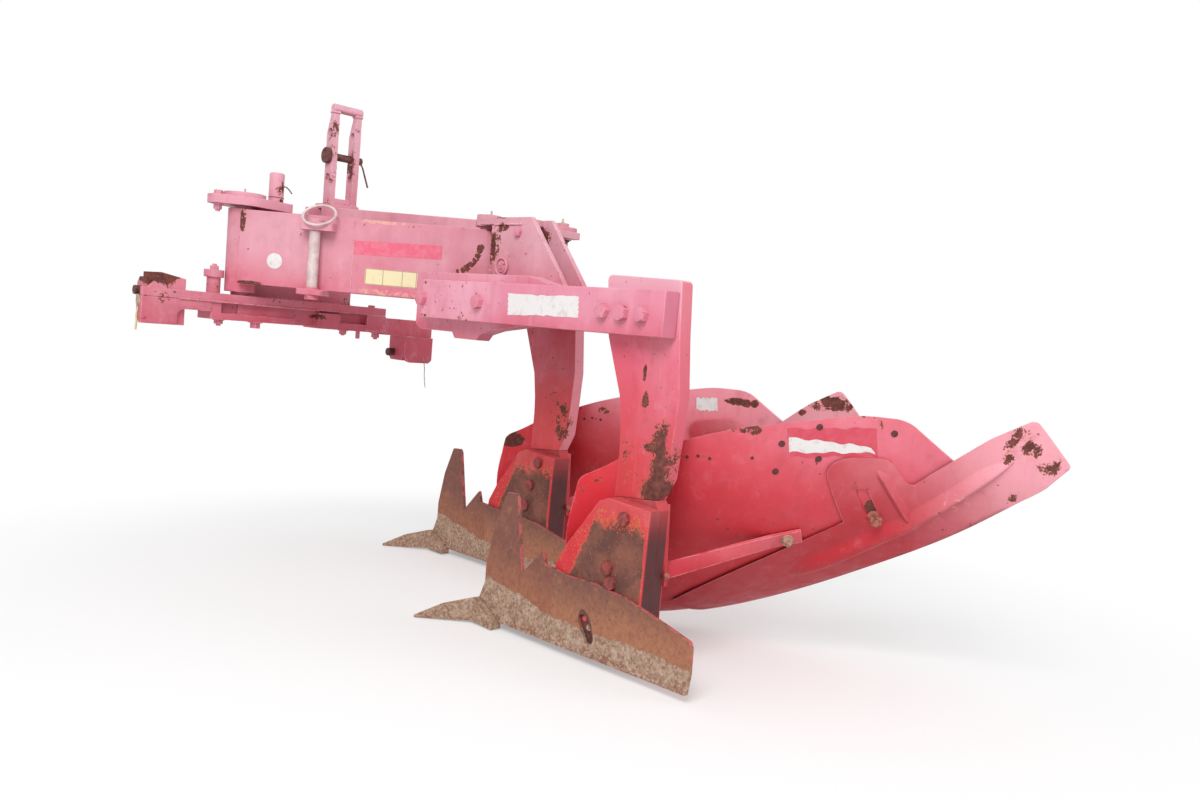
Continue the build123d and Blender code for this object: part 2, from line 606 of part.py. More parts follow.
# Mast: two uprights on a base over the second link, joined at the foot and by a handle bar on top
MAST_MID_Y = (MAST_Y0 + MAST_Y1) / 2
HANDLE_Z = MAST_Z0 + HANDLE_UP
MAST_TOP = HANDLE_Z - HANDLE_R - SEAT
UPRIGHTS_X = (MAST_X, MAST_X + UPRIGHT_STEP)
save(block(MAST_X, UPRIGHTS_X[1] + UPRIGHT_T + 6, MAST_Y0 - 8, STRIP_Y1, BACK_TOP + SEAT, MAST_Z0 - SEAT),
     "mast_base", TO_ARM)
for side, x in zip(("left", "right"), UPRIGHTS_X):
    with BuildPart() as mast:
        with BuildSketch(side_plane(x)):
            with BuildLine():
                Polyline((MAST_Y0, MAST_Z0), (MAST_Y1, MAST_Z0), (MAST_Y1, MAST_TOP - HANDLE_UP * 0.21),
                         (MAST_Y1 - 22, MAST_TOP), (MAST_Y0, MAST_TOP), close=True)
            make_face()
            with Locations(*[(MAST_MID_Y, MAST_Z0 + up) for up in HOLES_UP]):
                Circle(TOP_PIN_R, mode=Mode.SUBTRACT)
        extrude(amount=UPRIGHT_T)
    save(mast, f"mast_{side}", TO_ARM)
save(block(MAST_X + UPRIGHT_T + SEAT, UPRIGHTS_X[1] - SEAT, MAST_Y0, MAST_Y1, MAST_Z0, MAST_Z0 + 18),
     "mast_spacer", TO_ARM)

PIN_HEAD_R = 27.0
PIN_HEAD_T = 14.0
with BuildPart() as top_pin:
    with BuildSketch(side_plane(MAST_X - PIN_HEAD_T)):
        with Locations((MAST_MID_Y, MAST_Z0 + TOP_PIN_UP)):
            Circle(PIN_HEAD_R)
    extrude(amount=PIN_HEAD_T - SEAT)
    with BuildSketch(side_plane(MAST_X - SEAT)):
        with Locations((MAST_MID_Y, MAST_Z0 + TOP_PIN_UP)):
            Circle(TOP_PIN_R)
    extrude(amount=UPRIGHT_STEP + UPRIGHT_T + 20)
save(top_pin, "top_pin", TO_ARM)
handle_end = Plane(origin=(MAST_X, MAST_Y0 + 10, HANDLE_Z), x_dir=(0, 1, 0), z_dir=(1, 0, 0))
save(round_bar(handle_end, HANDLE_R, UPRIGHT_STEP + UPRIGHT_T + 3), "handle", TO_ARM)
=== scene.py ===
"""Looks of the two-furrow mounted plough: faded red paint, rust, worn steel, fasteners and blank labels."""
import json
import math
import bmesh
import bpy
from mathutils import Matrix, Vector
from mathutils.bvhtree import BVHTree


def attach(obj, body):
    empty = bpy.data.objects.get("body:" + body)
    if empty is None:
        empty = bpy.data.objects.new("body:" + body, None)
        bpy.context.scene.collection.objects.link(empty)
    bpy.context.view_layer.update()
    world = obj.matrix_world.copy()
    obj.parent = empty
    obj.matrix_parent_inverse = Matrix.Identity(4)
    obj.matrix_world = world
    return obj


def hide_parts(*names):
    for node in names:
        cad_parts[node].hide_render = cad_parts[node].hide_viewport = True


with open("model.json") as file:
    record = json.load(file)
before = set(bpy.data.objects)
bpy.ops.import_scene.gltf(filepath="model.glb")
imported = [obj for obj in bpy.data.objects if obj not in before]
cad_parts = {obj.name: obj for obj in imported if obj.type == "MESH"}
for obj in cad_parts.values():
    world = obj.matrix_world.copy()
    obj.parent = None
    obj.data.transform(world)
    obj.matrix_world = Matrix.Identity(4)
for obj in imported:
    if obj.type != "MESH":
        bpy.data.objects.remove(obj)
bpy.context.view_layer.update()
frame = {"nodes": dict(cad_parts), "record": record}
nodes = frame["nodes"]

# The datum that the plough is drawn from, in the part's frame; lengths below are millimetres from it
DATUM = Vector((-0.2963, -0.6933, 0))
STEP = Vector((429, 797, 0))          # rear furrow body to front furrow body


def at(x, y, z):
    return DATUM + Vector((x, y, z)) * 0.001


def mm(length):
    return length * 0.001


# Finishes

def linear(colour):
    """Linear colour of a paint or rust tone that is given as it looks on a screen, from 0 to 255."""
    return (*((c / 255 / 12.92) if c <= 10 else ((c / 255 + 0.055) / 1.055) ** 2.4 for c in colour), 1)


class Bench:
    """Short words for wiring one material, or another owner of a node tree."""

    def __init__(self, name, owner=None):
        self.owner = owner or bpy.data.materials.new(name)
        self.owner.use_nodes = True
        self.tree = self.owner.node_tree
        self.tree.nodes.clear()
        self.place = self.add("TexCoord").outputs["Object"]
        self.colour = self.shift = None

    def add(self, kind, inputs=None, **settings):
        node = self.tree.nodes.new("ShaderNode" + kind)
        for key, value in settings.items():
            setattr(node, key, value)
        for key, value in (inputs or {}).items():
            self.plug(value, node.inputs[key])
        return node

    def plug(self, value, socket):
        if isinstance(value, bpy.types.NodeSocket):
            self.tree.links.new(value, socket)
        else:
            socket.default_value = linear(value) if socket.type == "RGBA" else value

    def noise(self, scale, detail=5, rough=0.6, warp=0, where=None):
        node = self.add("TexNoise", {"Vector": where or self.place, "Scale": scale, "Detail": detail,
                                     "Roughness": rough, "Distortion": warp})
        return node.outputs["Fac"]

    def own(self, scale, detail, rough, warp=0):
        """Noise moved by the finish's own shift."""
        return self.noise(scale, detail, rough, warp, self.shift)

    def sums(self, operation, a, b=0):
        return self.add("Math", {0: a, 1: b}, operation=operation).outputs[0]

    def minus(self, a, b):
        return self.sums("SUBTRACT", a, b)

    def times(self, a, b):
        return self.sums("MULTIPLY", a, b)

    def plus(self, *terms):
        total = terms[0]
        for term in terms[1:]:
            total = self.sums("ADD", total, term)
        return total

    def about(self, value, middle, gain):
        """Value measured from a middle, times a gain."""
        return self.times(self.minus(value, middle), gain)

    def band(self, value, low, high, out_low=0, out_high=1):
        """Smooth step of value from low to high."""
        node = self.add("MapRange", {"Value": value, "From Min": low, "From Max": high,
                                     "To Min": out_low, "To Max": out_high},
                        interpolation_type="SMOOTHSTEP")
        return node.outputs["Result"]

    def blend(self, fac, a, b):
        node = self.add("Mix", {"Factor": fac}, data_type="RGBA")
        self.plug(a, node.inputs[6])
        self.plug(b, node.inputs[7])
        return node.outputs[2]

    def coat(self, fac, colour):
        """Lay a colour over the colour so far."""
        self.colour = self.blend(fac, self.colour, colour)

    def vector(self, operation, a, b=(0, 0, 0)):
        return self.add("VectorMath", {0: a, 1: b}, operation=operation)

    def dot(self, a, b):
        return self.vector("DOT_PRODUCT", a, b).outputs["Value"]

    def normal(self):
        return self.add("NewGeometry").outputs["Normal"]

    def along(self, axis="Z"):
        return self.add("SeparateXYZ", {0: self.place}).outputs[axis]

    def past(self, x, full):
        """Smooth step along the plough's x, from nothing at x to one at full."""
        return self.band(self.along("X"), at(x, 0, 0).x, at(full, 0, 0).x)

    def run(self, origin, direction):
        """Distance from origin along a direction, in metres."""
        return self.dot(self.vector("SUBTRACT", self.place, origin).outputs[0], direction)

    def facing(self, axis):
        """How far the surface faces along an axis, from -1 to 1."""
        return self.add("SeparateXYZ", {0: self.normal()}).outputs[axis]

    def moved(self, offset, scale=(1, 1, 1)):
        return self.add("Mapping", {"Vector": self.place, "Location": offset, "Scale": scale}).outputs[0]

    def near(self, centre, radii):
        """One at centre, falling to nothing at the radii along x, y and z."""
        away = self.vector("SUBTRACT", self.place, centre).outputs[0]
        scaled = self.vector("MULTIPLY", away, [1 / r for r in radii]).outputs[0]
        return self.band(self.vector("LENGTH", scaled).outputs["Value"], 1, 0.45)

    def rim(self, reach=4):
        """One on the outer edges of a piece, nothing on its flats."""
        rounded = self.add("Bevel", {"Radius": mm(reach)}, samples=4).outputs["Normal"]
        return self.band(self.dot(self.normal(), rounded), 0.985, 0.86)

    def finish(self, roughness, metallic, height, strength, distance, specular=0.5):
        relief = self.add("Bump", {"Height": height, "Strength": strength, "Distance": distance})
        shader = self.add("BsdfPrincipled", {
            "Base Color": self.colour, "Roughness": roughness, "Metallic": metallic,
            "Specular IOR Level": specular, "Normal": relief.outputs[0]})
        self.add("OutputMaterial", {"Surface": shader.outputs[0]})
        return self.owner


def worn_patch(place, radius, amount):
    """Centre, reach and strength of a worn patch; the reach may differ along x, y and z."""
    radii = radius if isinstance(radius, tuple) else (radius,) * 3
    return place, [mm(r) for r in radii], amount


def spots(*marks, shift=(0, 0)):
    """Worn patches, each given by its x, y and z, reach and strength."""
    return [worn_patch(at(x + shift[0], y + shift[1], z), radius, amount)
            for x, y, z, radius, amount in marks]


CHALK = (238, 186, 200)
BRICK = (150, 54, 62)
RUST = (128, 70, 58)
DARK_RUST = (84, 46, 44)
ORANGE_RUST = (206, 118, 76)
WORKING_SIDE = (0.65, 0.76, 0)      # the way that the hollow face of a board looks


def rust_tone(b):
    grain = b.band(b.own(70, 6, 0.7), 0.34, 0.68)
    return b.blend(grain, DARK_RUST, RUST)


def paint_coat(b, low, high, fade, chalk, slow, slope=None):
    """Sound paint: faded from the top down or along a slope, chalky in clouds, mottled, streaked by rain,
    with painted shade on faces that look down.
    """
    level = b.plus(b.run(*slope) if slope else b.along(), b.about(slow, 0.5, 0.2))
    b.colour = b.blend(b.band(level, *fade), low, high)
    faded = b.band(level, fade[0], fade[1] + 0.08, 0.3, 1)
    clouds = b.times(b.times(b.band(slow, 0.44, 0.7), chalk), faded)
    b.coat(clouds, CHALK)
    mottle = b.own(17, 7, 0.68)
    b.coat(b.band(mottle, 0.5, 0.8, 0, 0.3), BRICK)
    b.coat(b.band(mottle, 0.47, 0.27, 0, 0.06 + 0.3 * chalk), CHALK)
    streak = b.noise(34, 4, 0.6, where=b.moved((0.31, 0.77, 0), (1, 1, 0.1)))
    b.coat(b.band(streak, 0.52, 0.76, 0, 0.16), BRICK)
    b.coat(b.band(streak, 0.44, 0.26, 0, 0.04 + 0.2 * chalk), CHALK)
    # painted shade: faces that look down are darkened towards brick red
    below = b.band(b.facing("Z"), -0.25, -0.85)
    b.coat(b.times(below, 0.45), BRICK)


def paint(name, low, high, fade=(0.3, 0.84), rust=0.7, scale=9, patches=(), scuffs=(), chalk=0.5, seed=0,
          wear=1, specks=0, reach=4, slope=None, crown=None, bleach=(), back=None, scoured=False):
    """Faded red paint, rubbed pale along the edges, specked, and rusted through in spots and given patches.

    Low goes over to high between the two heights of fade, or that far along slope. Rust is the level at which
    the noise is rust, and scale is the noise's own. Crown is a paler colour with the heights where it starts
    and is full. Back is painted light and shade: the colour of faces that look to the rear, lighter or darker
    than the rest as light falls on them. Scoured is for boards with a working face.
    """
    b = Bench(name)
    b.shift = b.moved((seed, seed * 0.7, seed * 0.3))
    slow = b.own(3, 4, 0.55)
    fine = b.own(scale * 9, 5, 0.6)
    edge = b.times(b.rim(reach), wear)
    paint_coat(b, low, high, fade, chalk, slow, slope)
    if crown:
        pale, start, full = crown
        b.coat(b.band(b.plus(b.along(), b.about(slow, 0.5, 0.06)), start, full, 0, 0.85), pale)
    for centre, radii, amount in bleach:
        b.coat(b.times(b.near(centre, radii), amount), (234, 190, 202))
    # painted light and shade: faces that look to the rear take their own lighter or darker colour
    if back:
        b.coat(b.band(b.facing("Y"), -0.5, -0.85, 0, 0.8), back)
    # edges rubbed pale, with cream and orange where the paint is nearly through
    worn = b.times(edge, b.band(b.own(26, 5, 0.7), 0.36, 0.58))
    b.coat(b.times(worn, 0.7), (244, 200, 204))
    # rust: ragged noise over a threshold, raised by the patches and the edges
    ragged = b.own(scale, 8, 0.68, 0.6)
    crumbs = b.own(scale * 26, 4, 0.6)
    field = b.plus(ragged, b.about(fine, 0.5, 0.42), b.about(crumbs, 0.5, 0.26), b.times(edge, 0.075))
    for centre, radii, amount in patches:
        field = b.plus(field, b.times(b.near(centre, radii), min(amount, 0.5) * 0.92))
    bare = b.band(field, rust, rust + 0.01)
    fringe = b.band(field, rust - 0.045, rust - 0.006)
    broken = b.band(b.own(scale * 4, 4, 0.6), 0.44, 0.6)
    b.coat(b.times(fringe, b.plus(b.times(broken, 0.6), 0.12)), ORANGE_RUST)
    # small specks, thick where the slow noise is high
    grain = b.plus(b.own(64, 3, 0.5), b.about(slow, 0.5, 0.22), b.times(edge, 0.07), specks)
    speck = b.band(grain, 0.712, 0.735)
    rusty = rust_tone(b)
    b.coat(b.times(speck, 0.85), rusty)
    for centre, radii, amount in scuffs:
        rubbed = b.plus(b.own(60, 7, 0.75), b.times(b.near(centre, radii), amount))
        b.coat(b.times(b.band(rubbed, 0.72, 0.77), 0.65), (226, 176, 154))
    if scoured:
        # the working face, rubbed to steel by the furrow slice and filmed with rust
        facing = b.dot(b.normal(), WORKING_SIDE)
        flow = b.plus(b.times(b.noise(70, 7, 0.7, where=b.moved((seed, 0, 0), (1, 0.16, 0.7))), 0.6),
                      b.times(b.own(5, 4, 0.6), 0.4))
        film = b.blend(b.band(flow, 0.38, 0.62), (124, 88, 74), (168, 132, 116))
        b.coat(b.band(facing, 0.25, 0.45), film)
    b.coat(bare, rusty)
    gone = b.sums("MAXIMUM", bare, b.times(speck, 0.7))
    rough = b.plus(b.times(gone, 0.28), b.band(b.noise(22), 0.3, 0.7, 0.4, 0.6))
    pitted = b.times(b.noise(150, 6, 0.7), gone)
    relief = b.plus(b.times(b.noise(240, 2), 0.05), b.times(b.noise(12, 3), 0.25), b.times(gone, -0.55),
                    b.times(pitted, 0.5))
    return b.finish(rough, 0, relief, 0.5, 0.0012, 0.35)


SLOT_Y, SLOT_Z = 327, 100           # middle of the slot in the rear landside


def worn_steel(name, line, seed=0, dark=(118, 76, 66), warm=(164, 108, 80), red_top=True):
    """Brown soil-worn steel: darker above, warmer below, then a sharp line to a crust of pale dried soil.

    Line is the height of the crust in metres. With red_top, paint is left on the upward and rearward edges.
    """
    b = Bench(name)
    b.shift = b.moved((seed, seed, seed))
    brush = b.noise(105, 7, 0.72, where=b.moved((seed, 0, 0), (1, 0.8, 0.7)))
    wander = b.about(b.own(9, 4, 0.6), 0.5, 0.05)
    # both furrow bodies measured from the rear one; the crust rises towards the tip of the knife
    level_y = b.minus(b.along("Y"), b.times(b.past(200, 220), mm(STEP.y)))
    rise = b.times(b.sums("MAXIMUM", b.minus(level_y, at(0, 440, 0).y), 0), 0.18)
    climb = b.minus(b.plus(b.along(), wander), rise)
    b.colour = b.blend(b.band(climb, line + 0.01, line + 0.13), warm, dark)
    b.coat(b.band(brush, 0.42, 0.72, 0, 0.45), (92, 58, 52))
    b.coat(b.band(brush, 0.42, 0.24, 0, 0.5), (186, 136, 104))
    blot = b.own(21, 7, 0.7)
    b.coat(b.band(blot, 0.52, 0.74, 0, 0.5), (178, 118, 76))
    pits = b.band(b.own(130, 4, 0.6), 0.6, 0.7)
    b.coat(b.times(pits, 0.55), (74, 46, 40))
    relief = b.plus(b.times(brush, 0.3), b.times(pits, -0.4))
    # dried soil
    torn = b.about(b.own(34, 6, 0.7), 0.5, 0.022)
    soil = b.band(b.plus(climb, torn), line + 0.003, line - 0.004)
    clods = b.own(120, 8, 0.76, 0.3)
    holes = b.band(b.noise(52, 6, 0.75, where=b.moved((seed + 2, 0, 0))), 0.58, 0.64)
    deep = b.band(b.along(), line - 0.03, line - 0.08)
    soil = b.times(soil, b.minus(1, b.times(holes, 0.55)))
    earth = b.blend(b.band(clods, 0.4, 0.62), (136, 102, 84), (188, 160, 138))
    dust = b.times(b.band(b.own(28, 6, 0.7), 0.46, 0.66), 0.45)
    earth = b.blend(dust, earth, (204, 182, 162))
    earth = b.blend(b.times(deep, b.band(clods, 0.56, 0.42)), earth, (140, 84, 70))
    b.coat(soil, earth)
    relief = b.plus(relief, b.times(b.times(clods, soil), 1.9), b.times(soil, 0.5))
    rough = b.plus(b.band(brush, 0.3, 0.7, 0.46, 0.64), b.times(soil, 0.3))
    # painted shade in a leaning oval round the slot, which makes the slot look wider and dark inside
    across = b.times(b.minus(level_y, at(0, SLOT_Y, 0).y), 1 / mm(24))
    high = b.times(b.minus(b.along(), mm(SLOT_Z)), 1 / mm(38))
    lean = b.minus(across, b.times(high, 0.5))
    slot_shade = b.sums("SQRT", b.plus(b.times(lean, lean), b.times(high, high)))
    b.coat(b.band(slot_shade, 1, 0.88, 0, 0.85), (82, 52, 44))
    if red_top:
        up = b.band(b.facing("Z"), 0.35, 0.6)
        back = b.band(b.facing("Y"), -0.45, -0.75)
        kept = b.band(b.own(30, 7, 0.75), 0.55, 0.47)
        red = b.times(b.times(b.sums("MAXIMUM", up, back), kept), b.band(b.along(), line + 0.01, line + 0.03))
        b.coat(b.times(red, 0.8), (200, 96, 98))
    return b.finish(rough, 0, relief, 0.7, 0.0018, 0.35)


def frog_finish(name, shift_by, seed=0):
    """Casting in leg red; its landside face is rubbed to rust inside a red margin, patchy towards the top."""
    dx, dy = shift_by
    b = Bench(name)
    b.shift = b.moved((seed, seed, seed))
    slow = b.own(4, 4, 0.55)
    paint_coat(b, (202, 48, 56), (206, 84, 88), (0.28, 0.5), 0.2, slow)
    edge = b.rim(4)
    ragged = b.own(26, 8, 0.72, 0.5)
    fine = b.own(130, 6, 0.7)
    front_edge = b.run(at(dx, 330 + dy, 405), (0, -0.899, -0.438))
    top_edge = b.minus(0.418, b.along())
    rear_edge = b.run(at(dx, 163 + dy, 0), (0, 1, 0))
    inside = b.sums("MINIMUM", b.times(top_edge, 0.55), b.times(rear_edge, 6))
    inside = b.sums("MINIMUM", b.times(front_edge, 2.4), inside)
    face = b.times(b.past(dx + 15, dx + 13.6), b.band(b.facing("X"), -0.5, -0.8))
    # the margin is patchy over its upper half, and rubbed clean in the middle of the face
    open_face = b.plus(b.band(inside, 0.006, 0.066, -0.16, 0.36), b.about(ragged, 0.5, 0.95),
                       b.about(fine, 0.5, 1.05))
    bare = b.times(b.band(open_face, 0.045, 0.075), face)
    fringe = b.times(b.band(open_face, -0.06, 0.04), face)
    stray = b.plus(ragged, b.about(fine, 0.5, 0.3), b.times(edge, 0.1))
    bare = b.sums("MAXIMUM", bare, b.band(stray, 0.715, 0.735))
    edge_pale = b.times(b.times(edge, b.band(b.own(24, 5, 0.7), 0.4, 0.6)), 0.5)
    b.coat(edge_pale, (240, 150, 140))
    b.coat(b.times(fringe, b.band(fine, 0.4, 0.6, 0.2, 0.95)), (214, 122, 66))
    brown = b.blend(b.band(b.own(15, 7, 0.7), 0.38, 0.64), (96, 62, 56), (132, 82, 68))
    brown = b.blend(b.band(fine, 0.56, 0.7, 0, 0.7), brown, (186, 112, 72))
    b.coat(bare, brown)
    # painted shade in the hollow between the landside plate and the fin
    deep = b.past(dx + 14, dx + 20)
    low_back = b.times(b.band(b.along(), 0.44, 0.32, 0.35, 0.94), b.band(b.facing("Z"), 0.6, 0.3))
    fin = b.times(b.past(dx + 86, dx + 90), b.band(b.facing("Y"), -0.5, -0.8))
    hollow = b.times(b.times(deep, low_back), b.minus(1, b.times(fin, 0.8)))
    b.coat(hollow, (64, 34, 34))
    relief = b.plus(b.times(bare, -0.45), b.times(b.times(b.noise(150, 5, 0.7), bare), 0.6),
                    b.times(b.noise(40, 4), 0.3))
    rough = b.plus(b.band(b.noise(24), 0.3, 0.7, 0.45, 0.62), b.times(bare, 0.2))
    return b.finish(rough, 0, relief, 0.55, 0.0014, 0.32)


def steel(name, light, dark, metallic=0.3, rough=0.6, scale=60):
    b = Bench(name)
    b.colour = b.blend(b.band(b.noise(scale, 6, 0.7), 0.35, 0.65), dark, light)
    return b.finish(b.band(b.noise(scale * 0.5), 0.3, 0.7, rough - 0.1, rough + 0.1), metallic,
                    b.noise(scale * 3, 4), 0.25, 0.0006)


def label(name, field, worn, amount=0.66):
    """A blank, weathered label."""
    b = Bench(name)
    dirt = b.band(b.noise(46, 6, 0.7), amount - 0.12, amount + 0.1)
    b.colour = b.blend(b.times(dirt, 0.5), field, worn)
    return b.finish(b.band(b.noise(30), 0.3, 0.7, 0.4, 0.6), 0, b.noise(200), 0.1, 0.0003)


# Arm directions: along it towards the front pivot, and out of its landside face
REAR_PIVOT = at(318, 1217, 0)
SWING = math.radians(41.2)
ALONG = Vector((-math.sin(SWING), math.cos(SWING), 0))
OUT = Vector((-math.cos(SWING), -math.sin(SWING), 0))


def on_arm(s, off, z):
    """Point beside the arm: s along it from the rear pivot, off out of its middle, z up."""
    return REAR_PIVOT + ALONG * mm(s) + OUT * mm(off) + Vector((0, 0, mm(z)))


def arm_spots(*marks):
    """Worn patches on the arm's landside face, each by its way along the arm, height, reach and strength."""
    return [worn_patch(on_arm(s, 70, z), radius, amount) for s, z, radius, amount in marks]


def ruled_label(name, field, line, low, high, fields):
    """Blank label with a thin frame and upright dividers, ruled along the arm and by height."""
    b = Bench(name)
    s = b.run(REAR_PIVOT, ALONG)
    rows = [b.sums("ABSOLUTE", b.minus(s, mm(stop))) for stop in fields]
    rows += [b.sums("ABSOLUTE", b.minus(b.along(), mm(z))) for z in (low, high)]
    nearest = rows[0]
    for row in rows[1:]:
        nearest = b.sums("MINIMUM", nearest, row)
    drawn = b.band(nearest, 0.0016, 0.0008)
    dirt = b.band(b.noise(40, 6, 0.7), 0.52, 0.74)
    b.colour = b.blend(b.times(dirt, 0.45), field, (196, 160, 128))
    b.coat(b.times(drawn, 0.8), line)
    return b.finish(b.band(b.noise(30), 0.3, 0.7, 0.4, 0.6), 0, b.noise(200), 0.1, 0.0003)


beam_paint = paint(
    "beam paint", (204, 84, 104), (219, 136, 157), (0.74, 0.9), 0.735, 10, chalk=0.45, seed=0.9, wear=0.9,
    back=(196, 104, 126), patches=spots(
        (0, 1100, 924, (60, 40, 12), 0.16), (0, 1098, 826, (60, 30, 10), 0.14),
        (0, 960, 826, (60, 240, 8), 0.16), (0, 165, 835, 22, 0.12)))
RUST_ARC = ((84, 968), (68, 974), (54, 982), (41, 991), (30, 1003), (21, 1017), (14, 1032), (9, 1050))
arm_paint = paint(
    "arm paint", (208, 104, 124), (209, 136, 151), (0.86, 1.06), 0.715, 10, chalk=0.45, seed=3.1, wear=0.9,
    specks=-0.01, bleach=arm_spots((640, 1010, (230, 230, 160), 0.28)),
    patches=arm_spots(
        (800, 1020, (26, 26, 170), 0.27), (772, 1080, (14, 14, 60), 0.24),
        *((s, z, 17, 0.235) for s, z in RUST_ARC), (398, 1094, (40, 40, 12), 0.16),
        (240, 1100, (60, 60, 10), 0.16), (70, 1080, 40, 0.08), (745, 880, (60, 60, 10), 0.28)),
    scuffs=arm_spots((300, 884, (190, 190, 16), 0.24), (330, 1104, (130, 130, 10), 0.26),
                     (120, 884, (150, 150, 16), 0.24)))
hitch_paint = paint(
    "headstock paint", (200, 84, 104), (217, 148, 164), (0.72, 1.02), 0.695, 14, chalk=0.45, seed=5.7,
    specks=0.004, patches=spots(
        (-505, 1780, 760, (40, 40, 60), 0.06), (170, 1790, 740, 80, 0.08),
        (-470, 1785, 812, (30, 30, 34), 0.22), (60, 1784, 790, (60, 40, 14), 0.2),
        (-490, 1806, 880, (90, 60, 64), 0.42), (-100, 1796, 1204, (30, 24, 34), 0.2),
        (-92, 1796, 1150, (30, 24, 20), 0.2)))
mast_paint = paint(
    "mast paint", (208, 124, 142), (218, 162, 176), (1.1, 1.4), 0.66, 20, chalk=0.55, seed=8.4, wear=1.1,
    specks=0.02, patches=spots(
        (97, 1824, 1430, (30, 20, 40), 0.16), (97, 1824, 1345, (30, 30, 50), 0.14),
        (184, 1842, 1320, (16, 30, 80), 0.2), (97, 1824, 1270, (30, 20, 30), 0.1)))
knuckle_paint = paint(
    "knuckle paint", (208, 116, 134), (214, 156, 168), (0.88, 1.1), 0.7, 13, chalk=0.55, seed=1.9,
    wear=1.1, bleach=spots((230, 900, 936, (60, 240, 24), 0.7)),
    scuffs=spots((250, 1075, 1030, (30, 60, 60), 0.2), (250, 950, 934, (60, 200, 14), 0.22)),
    patches=spots(
        (250, 1088, 1066, (30, 30, 70), 0.24), (250, 1106, 1010, (30, 18, 110), 0.22),
        (250, 1040, 1110, (30, 60, 14), 0.1), (250, 1060, 950, (30, 60, 14), 0.1),
        # these two far-cheek patches are rust and also painted shade, made large to darken its inner face,
        # which lies in shadow
        (330, 1000, 1095, (40, 60, 60), 0.29), (346, 960, 1070, (30, 60, 60), 0.28),
        (255, 1060, 1143, (16, 60, 6), 0.2), (250, 1062, 1118, (20, 30, 30), 0.22)))
leg_paints = [
    paint("leg paint rear", (202, 56, 62), (216, 98, 120), (0.44, 0.86), 0.7, 20, chalk=0.28, seed=2.2,
          crown=((228, 178, 192), 0.78, 0.93), back=(206, 96, 112), wear=0.7, specks=0.004,
          scuffs=spots((50, 190, 505, (40, 50, 90), 0.13)),
          patches=spots(
              (50, 158, 505, (60, 62, 130), 0.27), (50, 190, 455, (60, 60, 44), 0.24),
              (50, 251, 733, (40, 9, 30), 0.36), (50, 240, 668, (40, 16, 36), 0.3),
              (50, 262, 655, (40, 24, 6), 0.16), (50, 213, 556, (40, 34, 16), 0.18),
              (50, 262, 500, (40, 120, 130), 0.1), (50, 190, 610, (40, 50, 60), 0.13),
              (50, 335, 470, (60, 14, 50), 0.1))),
    paint("leg paint front", (224, 78, 82), (190, 76, 88), (0.44, 0.8), 0.705, 24, chalk=0.2, seed=6.3,
          back=(232, 150, 164), wear=0.7, specks=0.022,
          patches=spots((50, 215, 590, (40, 80, 120), 0.14), (50, 170, 520, (40, 50, 90), 0.17),
                        (90, 140, 640, 26, 0.16), shift=STEP))]
board_paints = [
    paint(f"board paint {tag}", low, high, (0.34, 0.7), 0.735, 17, chalk=chalk, seed=seed, wear=0.35,
          slope=(at(shift[0], shift[1] + 60, 0), (0, -0.34, 0.94)), scoured=True, specks=-0.012,
          patches=spots(*patches, shift=shift))
    for tag, low, high, chalk, seed, shift, patches in (
        ("rear", (212, 42, 54), (220, 106, 122), 0.14, 4.4, (0, 0), (
            (217, 42, 622, (44, 30, 22), 0.38), (190, 66, 616, (34, 20, 12), 0.32),
            # the first patch on this line is painted shade, darkening the board seen through the extension's
            # slot
            (547, -118, 448, (50, 22, 40), 0.6), (459, -158, 656, (20, 10, 22), 0.16),
            (346, -60, 641, 20, 0.12), (300, 20, 522, 20, 0.14), (371, -51, 556, (14, 10, 22), 0.2),
            (240, 51, 552, 12, 0.2), (159, 152, 544, (12, 8, 20), 0.2), (85, 420, 446, (60, 24, 12), 0.22),
            (75, 440, 420, (60, 14, 20), 0.16), (150, 178, 536, 14, 0.22), (200, 120, 532, 12, 0.2),
            (90, 400, 330, (60, 20, 60), 0.06))),
        # the front board's tones are lighter than the rear's, a painted highlight against the shade it takes
        # facing away from the key lamp
        ("front", (222, 52, 62), (236, 148, 162), 0.22, 7.7, STEP[:2], (
            (480, -180, 638, (60, 50, 18), 0.3), (504, -203, 635, 18, 0.34), (519, -226, 636, 18, 0.34),
            (168, 114, 572, (44, 26, 18), 0.36), (68, 432, 440, (60, 74, 40), 0.42),
            (150, 150, 530, (60, 90, 10), 0.12), (62, 350, 470, (60, 50, 20), 0.14))))]
tail_paints = [
    paint(f"tail paint {tag}", (190, 38, 50), (234, 158, 170), (0.31, 0.74), 0.715, 20, chalk=0.14,
          seed=seed, slope=(at(shift[0], shift[1], 0), (0, -0.75, 0.66)), wear=0.25, scoured=True,
          specks=-0.004, patches=spots(*patches, shift=shift), scuffs=spots(
              (630, -285, 492, (50, 90, 60), 0.17), (600, -205, 428, (50, 50, 40), 0.13), shift=shift))
    for tag, seed, shift, patches in (
        ("rear", 9.2, (0, 0), (
            (650, -426, 660, (44, 34, 44), 0.245), (667, -450, 632, (44, 34, 34), 0.24),
            (690, -480, 594, (44, 46, 30), 0.25), (655, -402, 630, (44, 20, 46), 0.2),
            (689, -403, 514, 20, 0.3), (649, -401, 602, 22, 0.28), (570, -236, 533, 18, 0.2),
            (610, -176, 405, 16, 0.18), (569, -259, 568, 12, 0.18), (554, 80, 230, 18, 0.16),
            (690, -500, 620, (30, 14, 20), 0.16), (690, -330, 430, (30, 90, 14), 0.08))),
        ("front", 3.8, STEP[:2], (
            (639, -409, 660, (60, 70, 40), 0.25), (668, -458, 668, (50, 50, 40), 0.26),
            (608, -350, 625, 18, 0.3))))]
